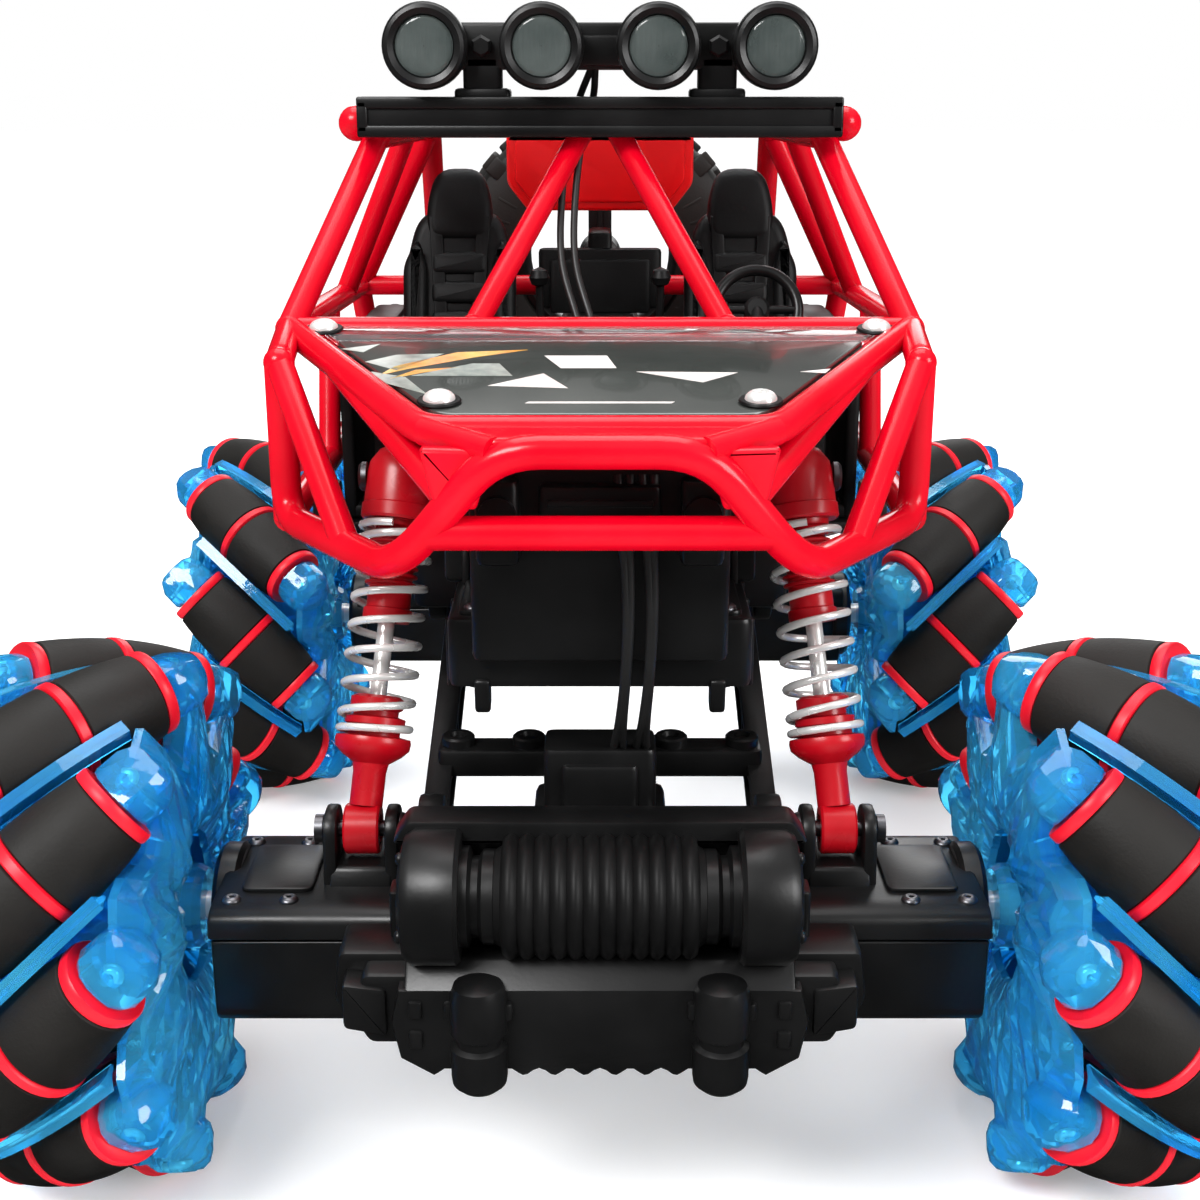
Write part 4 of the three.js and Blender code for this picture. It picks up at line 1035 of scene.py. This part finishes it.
# floor, dash, side ledges, seats, levers and console
def tubShapes():
    t = tub
    shapes = [block(-t["half"], t["half"], t["front"], t["rear"], t["floor"], t["floor"] + 3, 3, 0.8)]
    dash = rounded([(-44, 124), (-30, 124), (-30, 157), (-34, 160), (-41, 159), (-44, 154)], 2, 5, True)
    shapes.append(slab(dash, -50, 50, "yzx", 1.4))
    for side in (-1, 1):
        shapes.append(block(*spanOn(side, 55, 58), t["front"], t["rear"], t["floor"], t["wallTop"], 1, 0.8))
        shapes.append(block(*spanOn(side, 49, 61), -30, 44, 152, 158, 2.5, 1.2))
        shapes.append(block(*spanOn(side, 51, 59), -27, 5, 157.6, 159.4, 2, 0.7))
        shapes.append(block(*spanOn(side, 51, 59), 10, 40, 157.6, 159.4, 2, 0.7))
        shapes.append(block(*spanOn(side, 20, 46), -42, -31, 158.5, 161.5, 2, 1))
        for k in range(3):
            shapes.append(turned([(0, 158), (2.6, 158), (2.6, 161.6), (2.0, 162.4), (0, 162.4)],
                                 np.array([side * (k - 1) * 5.4, -35.0, 0.0]), [0, 0, 1], 18))
        shapes += seatShapes(side * seat["x"])
        lever = rodBetween((side * 13.2, -6, 123), (side * 14.2, -11, 171), 0.9, 10)
        knob = turned([(0, -2.4), (1.8, -1.6), (2.4, 0), (1.8, 1.6), (0, 2.4)],
                      np.array([side * 14.2, -11.2, 172.4]),
                      [0, 0, 1], 16)
        shapes += [lever, knob]
    shapes.append(block(-10, 10, -31, 34, t["floor"] + 2, 158.4, 2, 1.2))
    shapes.append(block(-8.4, 8.4, -28, 2, 157.6, 160, 2, 0.8))
    shapes.append(block(-8.4, 8.4, 5, 32, 157.6, 160, 2, 0.8))
    shapes.append(block(-3, 3, 20, 34, 159, 180, 1.4, 1.2))
    shapes.append(block(-15.4, 15.4, 18.6, 22, 161, 176, 2.2, 1.0))
    shapes.append(block(-12.6, 12.6, 17.6, 19.4, 160, 173.4, 1.4, 0.8))
    for x in (-5.5, 0, 5.5):
        shapes.append(block(x - 1.9, x + 1.9, -24, -18, 159.4, 161.2, 0.8, 0.5))
    return shapes


# rim: centre + radius (cos across + sin up), three spokes, a boss and a column
def steeringShapes():
    s = steering
    centre = np.array([s["x"], s["y"], s["z"]])
    across, up = np.array([1.0, 0, 0]), np.array([0, math.sin(s["lean"]), math.cos(s["lean"])])
    away = np.cross(across, up)
    angle = np.linspace(0, 2 * np.pi, 48, endpoint=False)[:, None]
    ring = centre + s["radius"] * (np.cos(angle) * across + np.sin(angle) * up)
    shapes = [tube(ring, s["rim"], 12, True)]
    for turn in np.radians((0, 180, 270)):
        tip = centre + s["radius"] * (math.cos(turn) * across + math.sin(turn) * up)
        shapes.append(rodBetween(centre, tip, 0.95, 10))
    boss = [(0, -1.8), (2.4, -1.8), (3.0, -1.2), (3.0, 0.8), (2.2, 1.5), (0, 1.5)]
    shapes.append(turned(boss, centre, away, 24))
    shapes.append(rodBetween(centre, centre + [0, -12, -6], 1.5, 14))
    return shapes


single("cockpitTub", tubShapes(), satinBlack, "chassis", ["cockpit_tub"])
single("steeringWheel", steeringShapes(), mouldedBlack, "chassis")

print("rear panel")
panelSize = dict(rise=2.8, shoulder=190, taper=5.5, rim=2.2)
panelLow, panelHigh = boxOf("rear_bulkhead")
panelHalf, panelTop = panelHigh[0], panelHigh[2] + panelSize["rise"]
panelFoot, shoulder = panelHalf - panelSize["taper"], panelSize["shoulder"]
panelOutline = rounded([(-panelHalf, panelTop), (-panelHalf, shoulder), (-panelFoot, panelLow[2]),
                        (panelFoot, panelLow[2]), (panelHalf, shoulder), (panelHalf, panelTop)], 1.6, 5,
                        True)
inner = inset(panelOutline, panelSize["rim"])
single("rearPanel", [slab(panelOutline, panelLow[1] + 0.8, panelHigh[1], "xzy", 0.9, 3),
                     slab(inner, panelLow[1], panelLow[1] + 1.6, "xzy", 0.6)], panelLitRed, "chassis",
                     ["rear_bulkhead"])

print("spare wheel")
spareLow, spareHigh = boxOf("spare_wheel")
spareCentre = (spareLow + spareHigh) / 2
spare = dict(radius=43.0, half=10.0, lugs=22, lugHeight=2.2)


# points turned about a line through centre by an angle: parallel + cos across + sin (axis x across)
def spun(shape, centre, axis, angle):
    axis = unit(axis)
    local = shape[0] - centre
    along = (local @ axis)[:, None] * axis
    across = local - along
    return centre + along + math.cos(angle) * across + math.sin(angle) * np.cross(axis, across), shape[1]


# a turned tyre, with lugs and side ribs turned round the axle in equal steps
def tyreShapes():
    r, w = spare["radius"] - spare["lugHeight"], spare["half"]
    wall = [(24.6, -w + 2.2), (25.4, -w + 0.6), (28, -w), (33, -w), (37, -w + 0.6), (39.4, -w + 1.8),
            (r - 0.4, -w + 4)]
    profile = wall + [(r, -w + 6), (r + 0.3, 0), (r, w - 6)] + [(a, -b) for a,
                                                                b in wall[::-1]] + [(23.8, 5), (23.8, -5)]
    shapes = [turned(profile, spareCentre, [0, 1, 0], 64, True)]
    top = spareCentre + [0, 0, r - 0.8]
    step = 2 * np.pi / spare["lugs"]
    for side in (-1, 1):
        lug = rounded([(-2.0, side * 0.6), (2.6, side * 1.6), (2.0, side * 9.2), (-3.0, side * 9.2)], 0.7,
                      3, True)
        base = slab(lug, 0, 2.8, "xyz", 0.5)
        shoulder = block(-3.2, 2.0, *spanOn(side, 6.6, 9.6), -3.4, 1.4, 0.6, 0.5)
        for k in range(spare["lugs"]):
            turn = (k + (0.5 if side > 0 else 0)) * step
            shapes += [spun(moved(part, top), spareCentre, [0, 1, 0], turn) for part in (base, shoulder)]
    for k in range(36):
        rib = block(-0.4, 0.4, -w - 0.1, -w + 0.5, -3, 3, 0.2, 0.1)
        shapes.append(spun(moved(rib, spareCentre + [0, 0, 31]), spareCentre, [0, 1, 0], k * np.pi / 18))
    return shapes


# a turned ring and hub, with three spokes a third of a turn apart
def rimShapes():
    w = spare["half"]
    ring = [(24.4, -w + 1.4), (24.4, w - 1.4), (22.6, w - 0.6), (21.6, w - 1.6), (20.6, 3), (20.6, -3),
            (21.6, -w + 1.6), (22.6, -w + 0.6)]
    hub = [(0, -6.0), (4, -6), (5.6, -5), (6.2, 3.4), (5, 5.4), (0, 5.4)]
    shapes = [turned(ring, spareCentre, [0, 1, 0], 56, True), turned(hub, spareCentre, [0, 1, 0], 30)]
    for k in range(3):
        spoke = block(-3.4, 3.4, -4, 3.6, 4.6, 21.6, 1.2, 0.8)
        shapes.append(spun(moved(spoke, spareCentre), spareCentre, [0, 1, 0], k * np.pi / 1.5))
        rib = block(-0.8, 0.8, -5, 4, 5.5, 21, 0.5, 0.4)
        shapes.append(spun(moved(rib, spareCentre), spareCentre, [0, 1, 0], k * np.pi / 1.5))
    return shapes


single("spareTyre", tyreShapes(), rollerRubber, "chassis", ["spare_wheel"])
single("spareRim", rimShapes(), mouldedBlack, "chassis")
spareNut = [(0, 5), (3.4, 5), (3.6, 5.4), (3.6, 8.4), (3.0, 9.2), (0, 9.2)]
single("spareNut", [turned(spareNut, spareCentre, [0, 1, 0], 6),
                    turned(spareNut, spareCentre, [0, -1, 0], 6)],
       springSteel, "chassis", (), 30)

print("tray")
tray = dict(bottom=106, top=121, half=41, endHalf=29, waist=58, end=108, floorHalf=61)
shockTop = place("shock_tilt_front_right")


# the front end of the tray: shock towers, ribs and the arms' lugs
def trayEnd():
    t = tray
    towerY = shockTop[1]
    shapes = [block(-t["endHalf"], t["endHalf"], -t["end"], -t["waist"] + 1, t["bottom"], t["top"] - 1,
                    2.4, 1.2),
              block(-t["endHalf"] + 2, t["endHalf"] - 2, -t["end"] + 2, -t["waist"] + 1, t["top"] - 1.8,
                    t["top"], 2, 0.6),
              block(-22, 22, towerY - 6, towerY + 6, t["top"] - 1, 146.4, 2, 1.2)]
    for x in (-14, -7, 0, 7, 14):
        shapes.append(block(x - 0.8, x + 0.8, towerY - 7.4, towerY + 7.4, t["top"] - 1, 143, 0.6, 0.6))
    for y in (-104, -92, -80, -68):
        shapes.append(block(-t["endHalf"] - 0.5, t["endHalf"] + 0.5, y - 1, y + 1, t["bottom"] - 0.6,
                            t["top"] - 2, 0.8, 0.4))
    for side in (-1, 1):
        tower = rounded([(towerY - 8, t["top"] - 1.5), (towerY - 5.4, 142), (towerY - 4, 146.4),
                         (towerY + 4, 146.4),
                         (towerY + 5.4, 142), (towerY + 8, t["top"] - 1.5)], 2.5, 5, True)
        shapes.append(slab(tower, *spanOn(side, 21, 31.4), "yzx", 1.2))
        for x0, x1 in ((25, 29), (36, 40)):
            lugOutline = rounded([(-37, 108), (-23, 108), (-23.6, 99), (-27, 95), (-33, 95), (-36.4, 99)],
                                 2.6, 5, True)
            shapes.append(slab(lugOutline, *spanOn(side, x0, x1), "yzx", 0.7))
        foot = rounded([(towerY - 10, t["top"] - 1), (towerY - 7, 130), (towerY - 6, 130),
                        (towerY - 6, t["top"] - 1)], 0.5, 3, True)
        for x in (10, 18, 27):
            shapes.append(slab(foot, side * x - 0.7, side * x + 0.7, "yzx", 0.3))
    return shapes


# the tray's middle, both ends, the gear boxes under it and the nose block
def traySolids():
    t = tray
    shapes = [block(-t["half"], t["half"], -t["waist"], -24.4, t["bottom"], t["top"] - 1, 3, 1.4),
              block(-t["half"], t["half"], 30.4, t["waist"], t["bottom"], t["top"] - 1, 3, 1.4),
              block(-t["half"], -17.4, -26, 32, t["bottom"], t["top"] - 1, 1.2, 1.2),
              block(17.4, t["half"], -26, 32, t["bottom"], t["top"] - 1, 1.2, 1.2),
              block(-18, 18, -26, 32, t["top"] - 4, t["top"] - 1, 0.5, 0.4),
              block(-t["floorHalf"], t["floorHalf"], -40, 62, t["top"] - 3, t["top"], 4, 0.9)]
    for y in range(-50, 60, 10):
        for side in (-1, 1):
            shapes.append(block(*spanOn(side, 39, 42), y - 1, y + 1, t["bottom"] - 0.4, t["top"] - 3, 0.6,
                                0.4))
    ends = trayEnd()
    shapes += ends + [halfTurned(part) for part in ends]
    shapes.append(block(-14, 14, -60, -30, 89, 107, 3, 1.4))
    shapes.append(block(-11, 11, -60.8, -50, 92, 104, 2, 0.8))
    shapes.append(block(-14, 14, 34, 60, 93, 107, 3, 1.4))
    for side in (-1, 1):
        for y in (-30, 40):
            post = rounded([(y - 5, 118), (y + 5, 118), (y + 3.4, 127.9), (y - 3.4, 127.9)], 1, 4, True)
            shapes.append(slab(post, *spanOn(side, 60, 66), "yzx", 0.8))
        # short hooks under the tray's front edge
        hookLine = rounded([(-109, 108), (-103, 108), (-103.5, 101.5), (-107.5, 100.5)], 1.2, 4, True)
        shapes.append(slab(hookLine, *spanOn(side, 21, 24), "yzx", 0.6))
    # nose block behind the front loop: a box with a sunk face between two cheeks
    shapes.append(block(-24, 24, -113, -106, 113, 150.4, 2, 1.2))
    for side in (-1, 1):
        shapes.append(block(*spanOn(side, 14.5, 22.5), -118, -112, 133, 149, 1.6, 1.2))
        shapes.append(turned([(0, 0), (2.6, 0), (3.4, 0.8), (3.4, 2.4), (0, 2.4)],
                             np.array([side * 18.4, -117.6, 143.0]), [0, -1, 0], 24))
    shapes.append(block(-11, 11, -116.4, -112, 136, 147.5, 1.2, 0.8))
    for z in (138.5, 141.5, 144.5):
        shapes.append(block(-9.6, 9.6, -117.2, -115, z - 0.7, z + 0.7, 0.5, 0.4))
    return shapes


# shock pins, arm pins and screws, at the front and after half a turn at the rear
def traySteel():
    shapes = []
    for end in ("front", "rear"):
        for side in (-1, 1):
            pin = [(0, 0), (1.6, 0), (1.6, 16.0), (3.0, 16.2), (3.0, 17.2), (2.4, 17.8), (0, 17.8)]
            shapes.append(facing(end, turned(pin, np.array([side * 31.0, shockTop[1], shockTop[2]]),
                                             [side, 0, 0], 18)))
            axlePin = [(0, 0), (2.8, 0), (2.9, 0.4), (2.9, 1.2), (1.8, 1.4), (1.8, 16.4), (2.8, 16.6),
                       (2.8, 17.6), (0, 17.8)]
            shapes.append(facing(end, turned(axlePin, np.array([side * 23.6, -30.0, 100.0]), [side, 0, 0],
                                             18)))
            for y in (-104, -64):
                shapes.append(facing(end, screw([side * 24, y, tray["top"] - 0.1], [0, 0, 1], 2.0, 1.1)))
                shapes.append(facing(end, screw([side * 24, y, tray["bottom"] + 0.1], [0, 0, -1], 2.0,
                                                1.1)))
    return shapes


single("chassisTray", traySolids(), mouldedBlack, "chassis", ["chassis_tray"])
single("chassisScrews", traySteel(), darkSteel, "chassis")

cellLow, cellHigh = boxOf("battery_pack")


# three round cells side by side under one wrap: (r cos a, 4.8 sin a) about each cell's middle
def batteryShapes():
    width = cellHigh[0] - cellLow[0]
    count = 3
    r = width / (2 * count)
    z0 = (cellLow[2] + cellHigh[2]) / 2
    outline = []
    for k in range(count):
        centre = cellLow[0] + r + 2 * r * k
        angle = np.radians(np.linspace(205 if k else 180, 335 if k < count - 1 else 360, 10))
        outline += [(centre + r * math.cos(a), z0 + 4.8 * math.sin(a)) for a in angle]
    outline = np.array(outline)
    upper = outline[::-1] * [1, -1] + [0, 2 * z0]
    return slab(np.concatenate([outline, upper[1:-1]]), cellLow[1], cellHigh[1], "xzy", 0.8, 3)


single("batteryPack", [batteryShapes()], cellWrap, "chassis", ["battery_pack"], 50)
strap = [block(cellLow[0] - 1.2, cellHigh[0] + 1.2, y - 4, y + 4, cellLow[2] - 0.6, cellLow[2] + 0.6, 0.6,
               0.3) for y in (-10, 16)]
single("batteryStraps", strap, satinBlack, "chassis")

print("wires")
# front wires hang before the nose block, rear wires come from under the tray
motorWire = dict(
    radius=0.85, first=3.2, pitch=2.2, bow=0.9, blendFrom=dict(front=(3, 5), rear=(1, 4)),
    front=[(0, -112.8, 149), (0.4, -115.4, 138), (0.9, -116.2, 124), (0.5, -115.6, 112),
           (-0.2, -112.4, 102),
           (-0.6, -107.6, 95.5), (-0.6, -103.6, 91.6)],
    rear=[(-1, -60.5, 104.5), (0, -67, 103.5), (0, -76, 101.5), (1, -86, 97.5), (0.5, -93, 94),
          (-0.5, -99, 90.6)])


# a curve through its points: 0.5 (2b + (c-a)t + (2a-5b+4c-d)t^2 + (3b-a-3c+d)t^3)
def smoothPath(points, steps=12):
    points = np.asarray(points, float)
    padded = np.concatenate([[2 * points[0] - points[1]], points, [2 * points[-1] - points[-2]]])
    t = np.linspace(0, 1, steps, endpoint=False)[:, None]
    parts = []
    for a, b, c, d in zip(padded, padded[1:], padded[2:], padded[3:]):
        square, cube = 2 * a - 5 * b + 4 * c - d, 3 * b - a - 3 * c + d
        parts.append(0.5 * (2 * b + (c - a) * t + square * t ** 2 + cube * t ** 3))
    return np.concatenate(parts + [points[-1:]])


for end, side in (("front", -1), ("rear", 1)):
    route = np.array(motorWire[end], float)
    lines = []
    for k in range(4):
        bow = (-1) ** k * np.sin(np.linspace(0, np.pi, len(route)))[:, None] * [motorWire["bow"], 0, 0]
        lines.append(smoothPath(route + [motorWire["first"] + motorWire["pitch"] * k, 0, 0] + bow))
    shapes = [tube(line, motorWire["radius"], 10) for line in lines]
    shapes = [facing(end, shape) for shape in shapes]
    wires = single("motorWires_" + end, shapes, wireSkin, None, (), 60)
    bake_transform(wires)

lampWire = [smoothPath([(x * 0.3, -15, 219), (x + 2, -13.4, 213), (x, -12.2, 207), (x - 2, -20, 192),
                        (x - 2, -29, 178),
                        (x + 1.5, -36, 166), (x + 3.5, -37.5, 158)]) for x in (-6.5, -3.5)]
single("lampWires", [tube(line, 0.8, 10) for line in lampWire], wireSkin, "chassis", (), 60)

print("studio")
bpy.context.scene.view_settings.view_transform = "Standard"
floorTone = finish("floorTone", ((0.88, 0.88, 0.88), (0.92, 0.92, 0.92)), (0.6, 0.75), (60, 0.02, 0.02), 6,
                   Emission_Strength=0.22)
floorMesh = bpy.data.meshes.new("studioFloor")
floorHalf = 6.0
floorMesh.from_pydata([(-floorHalf, -floorHalf, 0), (floorHalf, -floorHalf, 0),
                        (floorHalf, floorHalf, 0), (-floorHalf, floorHalf, 0)], [], [(0, 1, 2, 3)])
floorMesh.materials.append(floorTone)
studioFloor = bpy.data.objects.new("studioFloor", floorMesh)
bpy.context.scene.collection.objects.link(studioFloor)
studioFloor.visible_glossy = False


# a white room; mirror-like reflections see one that is dim low down and bright overhead
def studioWorld(room, low, high, start, end):
    world = bpy.context.scene.world or bpy.data.worlds.new("studio")
    bpy.context.scene.world = world
    world.use_nodes = True
    nodes, links = world.node_tree.nodes, world.node_tree.links
    whole = nodes["Background"]
    whole.inputs["Color"].default_value = (1, 1, 1, 1)
    whole.inputs["Strength"].default_value = room
    direction = nodes.new("ShaderNodeTexCoord")
    parts = nodes.new("ShaderNodeSeparateXYZ")
    links.new(direction.outputs["Generated"], parts.inputs["Vector"])
    climb = nodes.new("ShaderNodeMapRange")
    climb.interpolation_type = "SMOOTHSTEP"
    for socket, value in (("From Min", start), ("From Max", end), ("To Min", low), ("To Max", high)):
        climb.inputs[socket].default_value = value
    links.new(parts.outputs["Z"], climb.inputs["Value"])
    graded = nodes.new("ShaderNodeBackground")
    links.new(climb.outputs["Result"], graded.inputs["Strength"])
    ray = nodes.new("ShaderNodeLightPath")
    mirrorOnly = nodes.new("ShaderNodeMath")
    mirrorOnly.operation = "SUBTRACT"
    mirrorOnly.use_clamp = True
    links.new(ray.outputs["Is Glossy Ray"], mirrorOnly.inputs[0])
    links.new(ray.outputs["Is Transmission Ray"], mirrorOnly.inputs[1])
    mix = nodes.new("ShaderNodeMixShader")
    links.new(mirrorOnly.outputs["Value"], mix.inputs["Fac"])
    links.new(whole.outputs["Background"], mix.inputs[1])
    links.new(graded.outputs["Background"], mix.inputs[2])
    links.new(mix.outputs["Shader"], nodes["World Output"].inputs["Surface"])


studioWorld(room=1.0, low=0.04, high=0.9, start=0.35, end=0.95)


# an area light turned to face its target: yaw from x and y, pitch from the drop
def softBox(name, position, target, width, power):
    light = bpy.data.lights.new(name, "AREA")
    light.shape = "RECTANGLE"
    light.size, light.size_y = width
    light.energy = power
    lampObject = bpy.data.objects.new(name, light)
    bpy.context.scene.collection.objects.link(lampObject)
    direction = np.array(target) - np.array(position)
    yaw = math.atan2(direction[0], -direction[1])
    pitch = math.atan2(math.hypot(direction[0], direction[1]), -direction[2])
    lampObject.location = position
    lampObject.rotation_euler = (pitch, 0, yaw + math.pi)


softBox("keyLight", (-0.5, -0.75, 0.9), (0, 0, 0.1), (0.5, 0.35), 13)
softBox("fillLight", (0.8, -0.6, 0.5), (0, 0, 0.1), (0.4, 0.4), 7)
softBox("topLight", (0, 0.2, 1.1), (0, 0, 0.1), (0.8, 0.8), 8)
softBox("backLight", (0.1, 1.0, 0.5), (0, 0, 0.12), (0.8, 0.4), 3.5)

view = dict(place=(0.0, -0.4126, 0.2192), lens=51.0, down=17.4)
camera = bpy.data.cameras.new("camera")
camera.lens = view["lens"]
camera.sensor_width = 36
camera.clip_start = 0.01
cameraObject = bpy.data.objects.new("camera", camera)
cameraObject.location = view["place"]
cameraObject.rotation_euler = (math.radians(90 - view["down"]), 0, 0)
bpy.context.scene.collection.objects.link(cameraObject)
bpy.context.scene.camera = cameraObject
